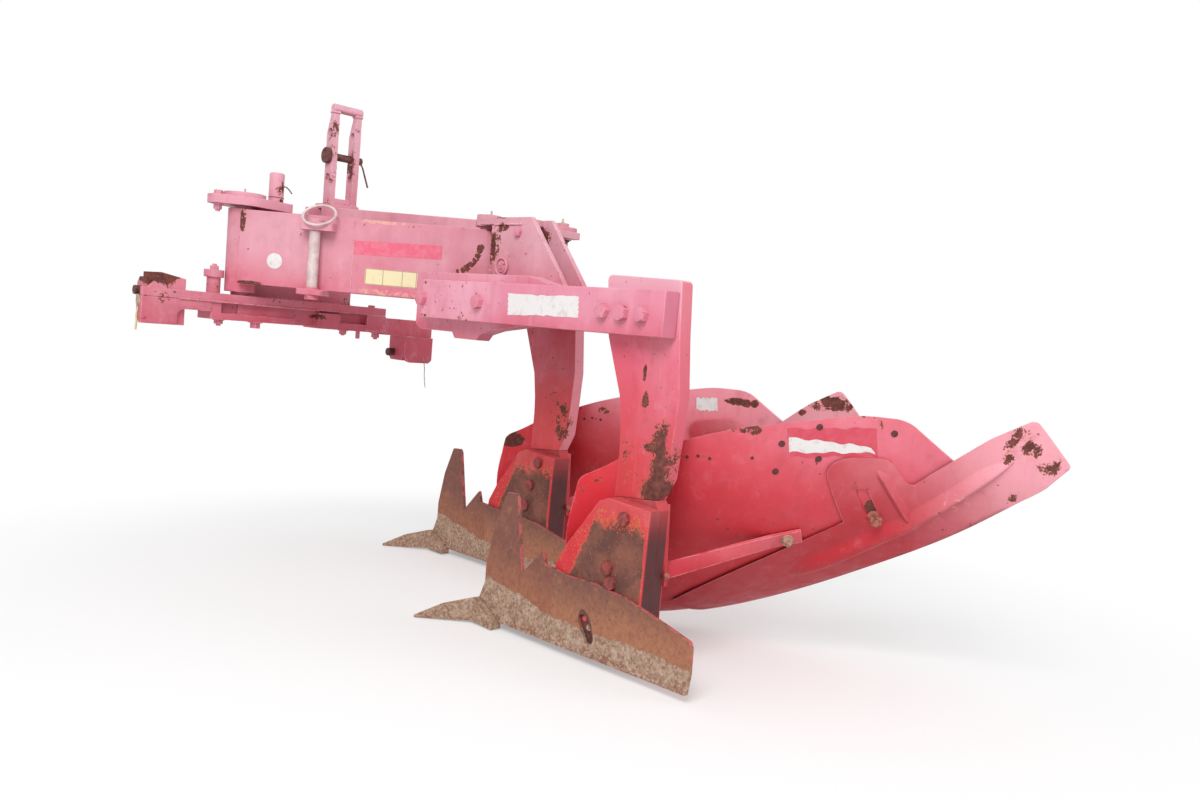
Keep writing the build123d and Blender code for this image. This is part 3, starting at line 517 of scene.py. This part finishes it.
stay_paint = paint("stay paint", (186, 44, 56), (222, 92, 104), (0.22, 0.36), 0.735, 22, chalk=0.15,
                   seed=1.1, wear=0.9, specks=-0.01,
                   patches=[mark for k in (0, 1) for mark in spots((356, 137, 303, 18, 0.2), shift=STEP * k)])
frog_paints = [frog_finish("frog casting rear", (0, 0), 0.6),
               frog_finish("frog casting front", STEP[:2], 2.9)]
landside_steel = worn_steel("landside steel", 0.087)
knife_steel = worn_steel("knife steel", 0.087, 1.3, (124, 76, 64), (152, 96, 72))
point_steel = worn_steel("point steel", 0.06, 2.6, (124, 94, 82), (168, 140, 124), False)
share_steel = worn_steel("share steel", 0.06, 3.9, (74, 44, 42), (110, 66, 58), False)
pin_steel = steel("pin steel", (150, 108, 96), (92, 62, 56))
dark_pin = steel("rusted pin", (124, 74, 66), (66, 40, 38), 0.1, 0.75)
rod_grey = steel("plated rod", (226, 208, 206), (196, 172, 172), 0.1, 0.5, 22)
pale_steel = steel("pale bolt", (196, 160, 138), (140, 104, 90), 0.1, 0.6, 90)
bright_wire = steel("plated wire", (206, 192, 176), (150, 130, 112), 0.3, 0.45, 90)
red_rust = steel("rust red bolt", (174, 72, 68), (108, 52, 50), 0.1, 0.7, 70)
nut_rust = steel("rusty nut", (198, 120, 104), (120, 66, 58), 0.1, 0.7, 90)
rivet_rust = steel("rusted rivet", (116, 58, 56), (72, 38, 40), 0.1, 0.8, 120)
tag_yellow = label("faded tag", (214, 196, 150), (150, 126, 88))
white_label = label("blank white label", (226, 222, 221), (186, 160, 158), 0.6)
yellow_label = ruled_label("blank yellow label", (232, 218, 176), (150, 128, 104), 908.5, 956.5,
                           (205, 250, 312, 368))
red_band = label("darker red band", (222, 96, 122), (226, 132, 152), 0.52)
old_red = label("less faded field", (206, 66, 86), (212, 92, 108), 0.5)
bolt_paint = paint("bolt paint", (186, 62, 78), (216, 132, 152), (0.4, 0.95), 0.645, 44, chalk=0.3,
                   seed=4.9, wear=0.6, specks=0.03, reach=2)

# CAD pieces, dressed

NODE_FINISH = {name: finish for finish, names in (
    (beam_paint, "main_beam inner_beam side_plate cross_member"),
    (knuckle_paint, "cheek_near cheek_far rear_top_plate rear_bottom_plate outrigger rear_pin link_rear_pin"),
    (arm_paint, "second_link swing_arm"), (rod_grey, "arm_rod"),
    (mast_paint, "mast_base mast_left mast_right mast_spacer handle"),
    (dark_pin, "top_pin lower_pin_left lower_pin_right")) for name in names.split()}
for sort, paints in (("leg", leg_paints), ("frog", frog_paints), ("moldboard", board_paints),
                     ("extension", tail_paints)):
    NODE_FINISH[f"{sort}_rear"], NODE_FINISH[f"{sort}_front"] = paints
SORT_FINISH = {"landside": landside_steel, "knife": knife_steel, "point": point_steel, "share": share_steel,
               "stay": stay_paint}
CURVED = ("moldboard", "extension")
# Width of the worn edge in mm, by piece or by sort
EDGE = {"swing_arm": 6, "main_beam": 3, "inner_beam": 3, "second_link": 3, "leg": 3, "frog": 3,
        "landside": 1.6, "knife": 1.8, "point": 2.5, "share": 0.8, "mast": 2, "cross_bar": 2, "stay": 1.4,
        "handle": 3, "post": 1}
PLAIN_EDGE = 1.5
WIDE_EDGE = 2.4     # above this an edge is rounded in three steps


def finish_of(name):
    return NODE_FINISH.get(name) or SORT_FINISH.get(name.split("_")[0], hitch_paint)


def put(name, data):
    """New object in the scene."""
    thing = bpy.data.objects.new(name, data)
    bpy.context.collection.objects.link(thing)
    return thing


bodies = {name: body for body, names in frame["record"]["behaviour"]["bodies"].items() for name in names}


def settle(bm, name, finish, body, angle=35, edge=0, segments=2):
    """Turn a bmesh into a piece with the finish given, which rides on a body."""
    bmesh.ops.recalc_face_normals(bm, faces=bm.faces)
    mesh = bpy.data.meshes.new(name)
    bm.to_mesh(mesh)
    bm.free()
    piece = put(name, mesh)
    mesh.materials.append(finish)
    for face in mesh.polygons:
        face.use_smooth = True
    mesh.set_sharp_from_angle(angle=math.radians(angle))
    if edge:
        bevel = piece.modifiers.new("worn edges", "BEVEL")
        bevel.width = mm(edge)
        bevel.segments = segments
        bevel.limit_method = "ANGLE"
        bevel.angle_limit = math.radians(30)
        bevel.harden_normals = True
    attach(piece, body)
    return piece


def dress(name):
    """A rounded copy of a CAD node, which stands for it."""
    bm = bmesh.new()
    bm.from_mesh(nodes[name].data)
    bmesh.ops.remove_doubles(bm, verts=bm.verts, dist=1e-5)
    sort = name.split("_")[0]
    curved = sort in CURVED
    bmesh.ops.dissolve_limit(bm, angle_limit=math.radians(0.2 if curved else 0.8),
                             verts=bm.verts, edges=bm.edges)
    edge = 0 if curved else EDGE.get(name, EDGE.get(sort, PLAIN_EDGE))
    piece = settle(bm, name + "_dressed", finish_of(name), bodies[name], edge=edge,
                   segments=3 if edge > WIDE_EDGE else 2)
    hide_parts(name)
    return piece


for node_name in nodes:
    nodes[node_name].data.materials.clear()
    nodes[node_name].data.materials.append(finish_of(node_name))
    dress(node_name)

# Fasteners and small pieces

def turned(degrees, axis):
    return Matrix.Rotation(math.radians(degrees), 4, axis)


def set_at(*point):
    return Matrix.Translation(at(*point))


FACING = {"left": turned(-90, "Y"), "right": turned(90, "Y"), "up": turned(0, "X"), "down": turned(180, "X"),
          "back": turned(90, "X"), "ahead": turned(-90, "X")}


def prism(bm, sides, r, low, high, place, chamfer=0, r_top=None):
    """Upright prism or round piece from low to high along its axis, then laid at place."""
    made = bmesh.ops.create_cone(bm, cap_ends=True, segments=sides, radius1=mm(r),
                                 radius2=mm(r if r_top is None else r_top), depth=mm(high - low))
    verts = made["verts"]
    bmesh.ops.translate(bm, verts=verts, vec=(0, 0, mm((low + high) / 2)))
    if chamfer:
        rim = [e for e in {e for v in verts for e in v.link_edges}
               if all(v.co.z > mm(high) - 1e-6 for v in e.verts)]
        cut = bmesh.ops.bevel(bm, geom=rim, offset=mm(chamfer), segments=2, profile=0.5, affect="EDGES",
                              material=-1)
        verts = list({v for v in verts if v.is_valid} | set(cut["verts"]))
    bmesh.ops.transform(bm, matrix=place, verts=verts)


FLATS = 1.732       # a hexagon's width across the flats, in radii to its corners


def fasten(bm, place, across=24, head=12, washer=True, stud=0, twist=0):
    """Bolt head or nut on its washer, standing off a face; a stud end shows past a nut."""
    place = place @ turned(twist, "Z")
    lift = 0
    if washer:
        prism(bm, 28, across * 0.78, -0.3, 2.6, place, 0.6)
        lift = 2.4
    prism(bm, 6, across / FLATS, lift - 0.2, lift + head, place, 1.6)
    if stud:
        prism(bm, 20, across * 0.31, lift, lift + head + stud, place, 1.2)


def bolt_group(name, bolts, finish=bolt_paint, body="frame"):
    """Fasteners as one piece, each as (point, facing) and then what fasten takes after its place."""
    bm = bmesh.new()
    for point, facing, *rest in bolts:
        fasten(bm, set_at(*point) @ FACING[facing], *rest)
    return settle(bm, name, finish, body, 25)


def both(*points):
    """The same places on the rear and on the front furrow body."""
    return [(x + k * STEP.x, y + k * STEP.y, z) for k in (0, 1) for x, y, z in points]


SEAT = 12.3         # landside face of frog and landside
LEG_BOLTS = ((357, 873, 5), (293, 871, 26), (228, 870, 14))         # y, z and turn of the head
FROG_BOLTS = ((SEAT, 237, 382), (SEAT, 278, 252), (SEAT, 262, 218),
              (SEAT + STEP.x, 1024, 388), (SEAT + STEP.x, 1053, 312), (SEAT + STEP.x, 1069, 243))
bolt_group("beam_bolts", [((0, y, z), "left", 34, 18, False, 0, t)
                          for y, z, t in ((1100, 874, 8), (841, 874, 20)) + LEG_BOLTS])
bolt_group("front_leg_bolts", [((STEP.x, y + STEP.y, z), "left", 34, 18, False, 0, t)
                               for y, z, t in LEG_BOLTS])
bolt_group("leg_nuts", [((90.3 + k * STEP.x, y + k * STEP.y, z), "right", 30, 20, True, 9, t)
                        for k in (0, 1) for y, z, t in LEG_BOLTS])
bolt_group("frog_bolts", [(p, "left", 31, 11, False, 0, 17 * i) for i, p in enumerate(FROG_BOLTS)], red_rust)
bolt_group("frog_nuts", [(p, "right", 24, 16, True, 8, 31 * i)
                         for i, p in enumerate(both((102.9, 300, 372), (102.9, 206, 292)))])
bolt_group("stay_bolts", [(p, "right", 24, 14, True, 8, 14 + 20 * i)
                          for i, p in enumerate(both((112.2, 219, 249)))], pin_steel)
bolt_group("rib_nuts", [(p, "back", 15, 8, False, 3, 10) for p in both((94, 162.8, 250))], nut_rust)
bolt_group("knuckle_bolts", [((250, 990, 1098), "left", 26, 12, False, 0, 10),
                             ((346, 990, 1098), "right", 26, 16, True, 8, 5)])
bolt_group("under_bar_bolts", [
    ((-281, 1806, 755), "down", 24, 12, True, 6), ((-155, 1806, 755), "down", 30, 18, True, 0, 20),
    ((175, 1806, 750), "down", 22, 12, True, 4, 12), ((309, 1806, 750), "down", 24, 16, True, 6, 7),
    ((232, 1800, 750), "down", 13, 26, False, 0, 7)], body="headstock")
bolt_group("cross_bar_bolts", [((305, 1835, 838), "up", 22, 8, False, 0, 11),
                               ((-288, 1840, 912), "up", 24, 13, False, 6, 22)], hitch_paint, "headstock")
bolt_group("nose_bolt", [((-290, 1835, 1150), "up", 24, 12, True, 0, 8),
                         ((-290, 1835, 1122), "down", 24, 16, True, 6, 14)], hitch_paint, "headstock")
# Bolt and nut in the slot of each landside
bolt_group("landside_bolts", [(p, "left", 15, 5, False, 0, 20) for p in both((SEAT, 338, 112))], old_red)
bolt_group("landside_nuts", [(p, "left", 16, 8, False, 4, 6) for p in both((SEAT, 318, 94))], pale_steel)


def lay(name, body, finish, *makers):
    """One piece out of several prisms, each as (sides, radius, low, high, place, chamfer)."""
    bm = bmesh.new()
    for maker in makers:
        prism(bm, *maker)
    return settle(bm, name, finish, body)


LINK_PIVOT = set_at(636, 1217, 0)
lay("link_nut", "frame", dark_pin, (6, 23, 1096, 1118.5, LINK_PIVOT, 1.5),
    (26, 27, 1118, 1121.7, LINK_PIVOT, 0.8), (20, 12, 1088, 1097, LINK_PIVOT, 0))
lay("near_pin_nut", "frame", knuckle_paint, (6, 34, 812, 842, Matrix.Translation(REAR_PIVOT), 2))


def nipples(name, body, *points):
    """Grease nipples as one piece: a hexagon, a neck and a ball each."""
    bm = bmesh.new()
    for point in points:
        place = set_at(*point)
        prism(bm, 6, 6, -0.5, 5, place, 0.6)
        prism(bm, 16, 3.2, 5, 12, place, 0, 2.4)
        bmesh.ops.create_uvsphere(bm, u_segments=12, v_segments=8, radius=mm(3.4),
                                  matrix=place @ Matrix.Translation((0, 0, mm(13))))
    return settle(bm, name, bright_wire, body)


nipples("rear_nipples", "frame", (324, 1217, 1159.3), (636, 1217, 1178.3))
nipples("front_nipple", "headstock", (-209, 1819, 1164.3))


def hitch_wire(name, finish, r, *points):
    """Round bar or wire on the headstock, along a path."""
    line = bpy.data.curves.new(name, "CURVE")
    line.dimensions = "3D"
    line.resolution_u = 10
    line.bevel_depth = mm(r)
    line.bevel_resolution = 4
    line.use_fill_caps = True
    run = line.splines.new("NURBS")
    run.points.add(len(points) - 1)
    for knot, p in zip(run.points, points):
        knot.co = (*at(*p), 1)
    run.order_u = 3
    run.use_endpoint_u = True
    rough = put(name, line)
    mesh = bpy.data.meshes.new_from_object(rough.evaluated_get(bpy.context.evaluated_depsgraph_get()))
    bpy.data.objects.remove(rough)
    bm = bmesh.new()
    bm.from_mesh(mesh)
    bmesh.ops.remove_doubles(bm, verts=bm.verts, dist=1e-6)
    return settle(bm, name, finish, "headstock", 40)


def ring(name, finish, body, centre, big, small, turn, squash=1):
    """Ring of round bar about a turned Z axis, squashed to an oval where the real one is."""
    bm = bmesh.new()
    section = Matrix.Translation((mm(big), 0, 0)) @ turned(90, "X")
    circle = bmesh.ops.create_circle(bm, segments=12, radius=mm(small), matrix=section)
    rim = list({e for v in circle["verts"] for e in v.link_edges})
    bmesh.ops.spin(bm, geom=circle["verts"] + rim, cent=(0, 0, 0), axis=(0, 0, 1), angle=math.radians(360),
                   steps=44, use_merge=True)
    bmesh.ops.remove_doubles(bm, verts=bm.verts, dist=1e-6)
    place = Matrix.Translation(centre) @ turn @ Matrix.Scale(squash, 4, (0, 1, 0))
    bmesh.ops.transform(bm, matrix=place, verts=bm.verts)
    return settle(bm, name, finish, body, 60)


ARM_TURN = Matrix((ALONG, OUT, Vector((0, 0, 1)))).transposed().to_4x4()
ring("arm_hoop", rod_grey, "arm", on_arm(519, 97, 1108), 51, 4.2, ARM_TURN @ turned(-42, "X"))
ring("cheek_ring", bolt_paint, "frame", at(245, 1053, 994), 25, 4.5, FACING["left"])
BOSS = set_at(250, 1053, 994) @ FACING["left"]
lay("cheek_boss", "frame", bolt_paint, (28, 19, -0.3, 7, BOSS, 2), (20, 9, 6, 10, BOSS, 1))
lay("arm_plug", "arm", white_label,
    (40, 25, -1, 2.5, Matrix.Translation(on_arm(663, 70, 955)) @ ARM_TURN @ FACING["ahead"], 1.2))
COLLAR = Matrix.Translation(on_arm(530, 95, 0))
lay("rod_collars", "arm", arm_paint, (32, 24, 1085, 1094, COLLAR, 2.5), (32, 21, 844, 857.6, COLLAR, 0),
    (32, 22, 876, 882, COLLAR, 1.5))


def plate_on(name, corners, finish, body, rise=0.5, ragged=0):
    """Thin flat label: corners go round it, ragged edges wander by that much."""
    bm = bmesh.new()
    face = bm.faces.new([bm.verts.new(c) for c in corners])
    face.normal_update()
    normal = face.normal.copy()
    if ragged:
        bmesh.ops.subdivide_edges(bm, edges=bm.edges, cuts=18)
        middle = sum((v.co for v in bm.verts), Vector()) / len(bm.verts)
        for i, v in enumerate(bm.verts):
            torn = 0.5 + 0.5 * math.sin(i * 2.7) * math.cos(i * 1.3)
            v.co += (middle - v.co).normalized() * mm(ragged) * torn
    made = bmesh.ops.extrude_face_region(bm, geom=bm.faces[:])
    up = [g for g in made["geom"] if isinstance(g, bmesh.types.BMVert)]
    bmesh.ops.translate(bm, verts=up, vec=normal * mm(rise))
    return settle(bm, name, finish, body, 40)


def arm_plate(name, finish, *corners):
    """Label on the arm's landside face; corners are (way along the arm, height)."""
    plate_on(name, [on_arm(s, 70.1, z) for s, z in corners], finish, "arm")


arm_plate("arm_label", yellow_label, (202, 907), (202, 958), (370, 958), (370, 907))
arm_plate("arm_band", red_band, (130, 1004), (130, 1047), (411, 1041), (411, 997))
plate_on("beam_label", [at(-0.1, y, z) for y, z in ((718, 845), (442, 852), (446, 906), (722, 903))],
         white_label, "frame", ragged=6)

# Painted shadow: a dark sheet behind the slot of each landside, standing for the shade inside it
BODY_SHIFT = {"rear": (0, 0), "front": STEP[:2]}
for tag, (dx, dy) in BODY_SHIFT.items():
    plate_on(f"slot_shadow_sheet_{tag}", [at(14 + dx, y + dy, z) for y, z in (
        (368, 38), (282, 38), (282, 142), (368, 142))], dark_pin, "frame", 1)


# Details that follow the boards

def skin(node):
    bm = bmesh.new()
    bm.from_mesh(nodes[node].data)
    tree = BVHTree.FromBMesh(bm)
    bm.free()
    return tree


def on_back(tree, y, z, shift):
    """Point and outward direction on a board's back, at that place seen from well out on the landside."""
    hit, normal, _, _ = tree.ray_cast(at(-200 + shift[0], y + shift[1], z), Vector((1, 0, 0)))
    if hit is None:
        return None, None
    return hit, normal if normal.x < 0 else -normal


def back_place(tree, y, z, shift):
    hit, normal = on_back(tree, y, z, shift)
    return Matrix.Translation(hit) @ normal.to_track_quat("Z", "Y").to_matrix().to_4x4()


def back_patch(name, tree, outline, shift, finish, rise):
    """Blank label on the back of a board; outline is four (y, z) corners, torn at top and bottom."""
    bm = bmesh.new()
    bmesh.ops.create_grid(bm, x_segments=22, y_segments=7, size=0.5)
    a, b, c, d = [Vector(p) for p in outline]
    lost = []
    for v in bm.verts:
        u, w = v.co.x + 0.5, v.co.y + 0.5
        p = (a * (1 - u) + b * u) * (1 - w) + (d * (1 - u) + c * u) * w
        if w < 0.01 or w > 0.99:
            p.y += 3.5 * math.sin(u * 23) * math.sin(u * 7 + w)
        hit, normal = on_back(tree, p.x, p.y, shift)
        if hit is None:
            lost.append(v)
            continue
        v.co = hit + normal * mm(rise)
    bmesh.ops.delete(bm, geom=lost, context="VERTS")
    return settle(bm, name, finish, "frame", 60)


def rib(name, tree, points, shift, finish, half_width, swell, steps=40):
    """Ridge pressed out of an extension: a grid laid along (y, z) points, raised in the middle."""
    bm = bmesh.new()
    bmesh.ops.create_grid(bm, x_segments=steps, y_segments=14, size=0.5)
    spans = [Vector(p) for p in points]
    lost = []
    for v in bm.verts:
        u, w = v.co.x + 0.5, v.co.y * 2
        along = u * (len(spans) - 1)
        k = min(int(along), len(spans) - 2)
        here = spans[k].lerp(spans[k + 1], along - k)
        run = (spans[k + 1] - spans[k]).normalized()
        ends = max(0, min(1, u * 9, (1 - u) * 9)) ** 0.5        # dies out over a ninth of its length
        place = here + Vector((-run.y, run.x)) * w * half_width * max(0.35, ends)
        hit, normal = on_back(tree, place.x, place.y, shift)
        if hit is None:
            lost.append(v)
            continue
        # gentle above the crest and steep below it
        side = -w if w < 0 else min(1, w * 1.9)
        v.co = hit + normal * mm(swell * ends * (0.5 + 0.5 * math.cos(math.pi * side)) - 0.25)
    bmesh.ops.delete(bm, geom=lost, context="VERTS")
    return settle(bm, name, finish, "frame", 80)


BOARD_RIVETS = ((-60, 641), (0, 593), (-51, 562), (20, 522), (-183, 640), (51, 552), (152, 544), (128, 541),
                (178, 538), (350, 450), (-130, 520))
LARGE_RIVETS = 5    # that many of them, from the first
LONG_RIB = ((92, 224), (-50, 316), (-190, 408), (-300, 498), (-412, 602))
SHORT_RIB = ((-150, 545), (-170, 480), (-192, 400))
STAY_FOOT_OUT = Vector((-0.487, -0.654, -0.581))    # out of the foot of the stay
for (tag, shift), tail in zip(BODY_SHIFT.items(), tail_paints):
    board_skin, tail_skin = skin(f"moldboard_{tag}"), skin(f"extension_{tag}")
    rib(f"tail_rib_{tag}", tail_skin, LONG_RIB, shift, tail, 26, 18)
    rib(f"tail_rib_short_{tag}", tail_skin, SHORT_RIB, shift, tail, 18, 12, 18)
    bm = bmesh.new()
    place = back_place(tail_skin, -150, 418, shift)
    place.translation = at(549.5 + shift[0], -123 + shift[1], 418)
    prism(bm, 32, 23, -2, 3, place, 0.8)
    prism(bm, 6, 17, 2.5, 18, place, 1.6)
    prism(bm, 20, 9, 17, 27, place, 1.2)
    settle(bm, f"slot_bolt_{tag}", nut_rust, "frame", 25)
    bm = bmesh.new()
    for i, (y, z) in enumerate(BOARD_RIVETS):
        if on_back(board_skin, y, z, shift)[0] is not None:
            prism(bm, 24, 8.5 if i < LARGE_RIVETS else 4.2, -1, 1.8, back_place(board_skin, y, z, shift), 1.2)
    settle(bm, f"board_rivets_{tag}", rivet_rust, "frame", 30)
    bm = bmesh.new()
    foot = STAY_FOOT_OUT.normalized().to_track_quat("Z", "Y").to_matrix().to_4x4()
    foot.translation = at(416 + shift[0], 44.5 + shift[1], 342) + STAY_FOOT_OUT * mm(4.6)
    fasten(bm, foot, 22, 12, True, 6, 15)
    settle(bm, f"stay_nut_{tag}", pale_steel, "frame", 25)
for name, tag, finish, rise, outline in (
        ("board_field_rear", "rear", old_red, 0.4, ((-12, 632), (-152, 650), (-150, 580), (-8, 560))),
        ("board_label_rear", "rear", white_label, 0.9, ((-12, 611), (-138, 602), (-146, 588), (-8, 573))),
        ("board_label_front", "front", white_label, 0.9, ((-88, 640), (-133, 645), (-130, 602), (-84, 600)))):
    back_patch(name, skin(f"moldboard_{tag}"), outline, BODY_SHIFT[tag], finish, rise)

# Hitch pins, clips and wires

hitch_wire("linch_pin_left", pale_steel, 6,
           (-535, 1813, 812), (-536, 1808, 800), (-535, 1806, 788), (-533, 1807, 776))
ring("linch_ring_left", bright_wire, "headstock", at(-537, 1806, 794), 17, 2.2, FACING["left"], 0.7)
hitch_wire("pin_tag_left", tag_yellow, 3.4,
           (-536, 1806, 776), (-538, 1812, 752), (-537, 1808, 730), (-538, 1814, 706))
hitch_wire("linch_pin_right", dark_pin, 4.5,
           (536, 1834, 716), (541, 1832, 690), (540, 1832, 668), (538, 1834, 650))
hitch_wire("pin_wire_right", bright_wire, 1.6,
           (497, 1764, 668), (505, 1762, 636), (504, 1761, 600), (512, 1760, 560))
hitch_wire("mast_clip", dark_pin, 3,
           (215, 1836, 1342), (219, 1822, 1326), (226, 1816, 1296), (240, 1812, 1254))
hitch_wire("post_wire", dark_pin, 2,
           (-100, 1797, 1196), (-88, 1793, 1208), (-72, 1791, 1200), (-60, 1790, 1186))
ring("post_groove", dark_pin, "headstock", at(-100, 1820, 1168), 24.2, 1.2, Matrix.Identity(4))
ring("cross_bar_hook", bright_wire, "headstock", at(209, 1848, 850), 13, 2.4, turned(70, "Y"))


def weld_bead(name, body, r, finish, *points):
    """Row of overlapping weld ripples along points."""
    bm = bmesh.new()
    count = 0
    for a, b in zip(points, points[1:]):
        steps = max(2, int((b - a).length / mm(r * 0.8)))
        for k in range(steps):
            spread = 1 + 0.18 * math.sin(count * 1.7)
            place = Matrix.Translation(a.lerp(b, k / steps)) @ Matrix.Scale(mm(r) * spread, 4)
            bmesh.ops.create_icosphere(bm, subdivisions=2, radius=1, matrix=place)
            count += 1
    return settle(bm, name, finish, body, 50)


weld_bead("arm_seam", "arm", 2.6, arm_paint, on_arm(414, 69.5, 884), on_arm(413, 69.5, 1104))
for body, finish, beads in (
        ("frame", knuckle_paint, (
            ("cheek_weld_near", 6, (249.5, 772, 930.5), (249.5, 1108, 930.5)),
            ("cheek_edge_weld", 4.5, (249.5, 1109.5, 935), (249.5, 1109.5, 1118)),
            ("cheek_top_weld", 4, (249.5, 980, 1121.8), (249.5, 1108, 1121.8)),
            ("far_cheek_weld", 5, (346.5, 772, 930.5), (346.5, 1108, 930.5)),
            ("side_plate_weld", 4, (50, 700, 930.5), (50, 1106, 930.5)))),
        ("headstock", hitch_paint, (
            ("bracket_weld_left", 4, (-396, 1797, 808), (-396, 1797, 782)),
            ("back_plate_weld", 5, (-188, 1889, 838.5), (248, 1889, 838.5)),
            ("strip_weld", 3, (-420, 1778, 811), (60, 1778, 811))))):
    for name, r, start, end in beads:
        weld_bead(name, body, r, finish, at(*start), at(*end))
for side, x in (("left", 98), ("right", 185)):
    corners = [at(x + across, y, 1489)
               for across, y in ((0, 1822), (20, 1822), (20, 1842), (0, 1842), (0, 1822))]
    foot = at(x - 1, 1822, 1183), at(x + 21, 1822, 1183)
    weld_bead(f"handle_weld_{side}", "headstock", 4.5, mast_paint, *corners)
    weld_bead(f"mast_weld_{side}", "headstock", 4.5, mast_paint, *foot)

# Floor, light and camera

WHITE = (255, 255, 255)
FADE_FROM, FADE_TO = 0.9, 2.3       # metres from the middle, where the floor turns to plain white


def watched(b):
    """One for what the camera sees, straight or in a gloss."""
    rays = b.add("LightPath")
    return b.sums("MAXIMUM", rays.outputs["Is Camera Ray"], rays.outputs["Is Glossy Ray"])


pale = Bench("pale floor")
lit = pale.add("BsdfDiffuse", {"Color": (247, 247, 247)})
blank = pale.add("Emission", {"Color": WHITE, "Strength": 1})
distance = pale.vector("LENGTH", pale.place).outputs["Value"]
beyond = pale.times(pale.band(distance, FADE_FROM, FADE_TO, 0.3, 1), watched(pale))
fading = pale.add("MixShader", {0: beyond, 1: lit.outputs[0], 2: blank.outputs[0]})
pale.add("OutputMaterial", {"Surface": fading.outputs[0]})
bpy.ops.mesh.primitive_plane_add(size=60, location=(0, 0, -0.001))
floor = bpy.context.object
floor.name = "floor"
floor.data.materials.append(pale.owner)

sky = Bench("studio", bpy.data.worlds.new("studio"))
bpy.context.scene.world = sky.owner
soft = sky.add("Background", {"Color": WHITE, "Strength": 0.55})
plain = sky.add("Background", {"Color": WHITE, "Strength": 1})
choose = sky.add("MixShader", {0: watched(sky), 1: soft.outputs[0], 2: plain.outputs[0]})
sky.add("OutputWorld", {"Surface": choose.outputs[0]})


def lamp(name, place, target, size, power):
    light = bpy.data.lights.new(name, "AREA")
    light.size = size
    light.energy = power
    holder = put(name, light)
    holder.location = place
    holder.rotation_euler = (Vector(target) - Vector(place)).to_track_quat("-Z", "Y").to_euler()


lamp("key", (-4.2, -2.6, 4.6), (0, 0, 0.5), 3, 260)
lamp("fill", (2.5, -4.5, 2.4), (0.2, -0.4, 0.4), 3.5, 60)

# Camera: place, heading to the right of travel, downward tilt and roll, in radians; the focal length is in
# pixels of the photograph
PLACE = Vector((-1.826969, -1.443593, 0.817161)) + DATUM
YAW, TILT, ROLL = 0.7988339, 0.0909755, -0.0889919
SENSOR, FOCAL, PHOTO_WIDTH = 36, 1050, 1200
ahead = Vector((math.sin(YAW) * math.cos(TILT), math.cos(YAW) * math.cos(TILT), -math.sin(TILT)))
level = Vector((math.cos(YAW), -math.sin(YAW), 0))
below = ahead.cross(level)
right = level * math.cos(ROLL) + below * math.sin(ROLL)
down = -level * math.sin(ROLL) + below * math.cos(ROLL)
lens = bpy.data.cameras.new("view")
lens.sensor_width = SENSOR
lens.lens = SENSOR * FOCAL / PHOTO_WIDTH
lens.shift_y = 0.025
lens.clip_start = 0.05
camera = put("view", lens)
camera.matrix_world = Matrix.Translation(PLACE) @ Matrix((right, -down, -ahead)).transposed().to_4x4()
bpy.context.scene.camera = camera
bpy.context.scene.view_settings.view_transform = "Standard"
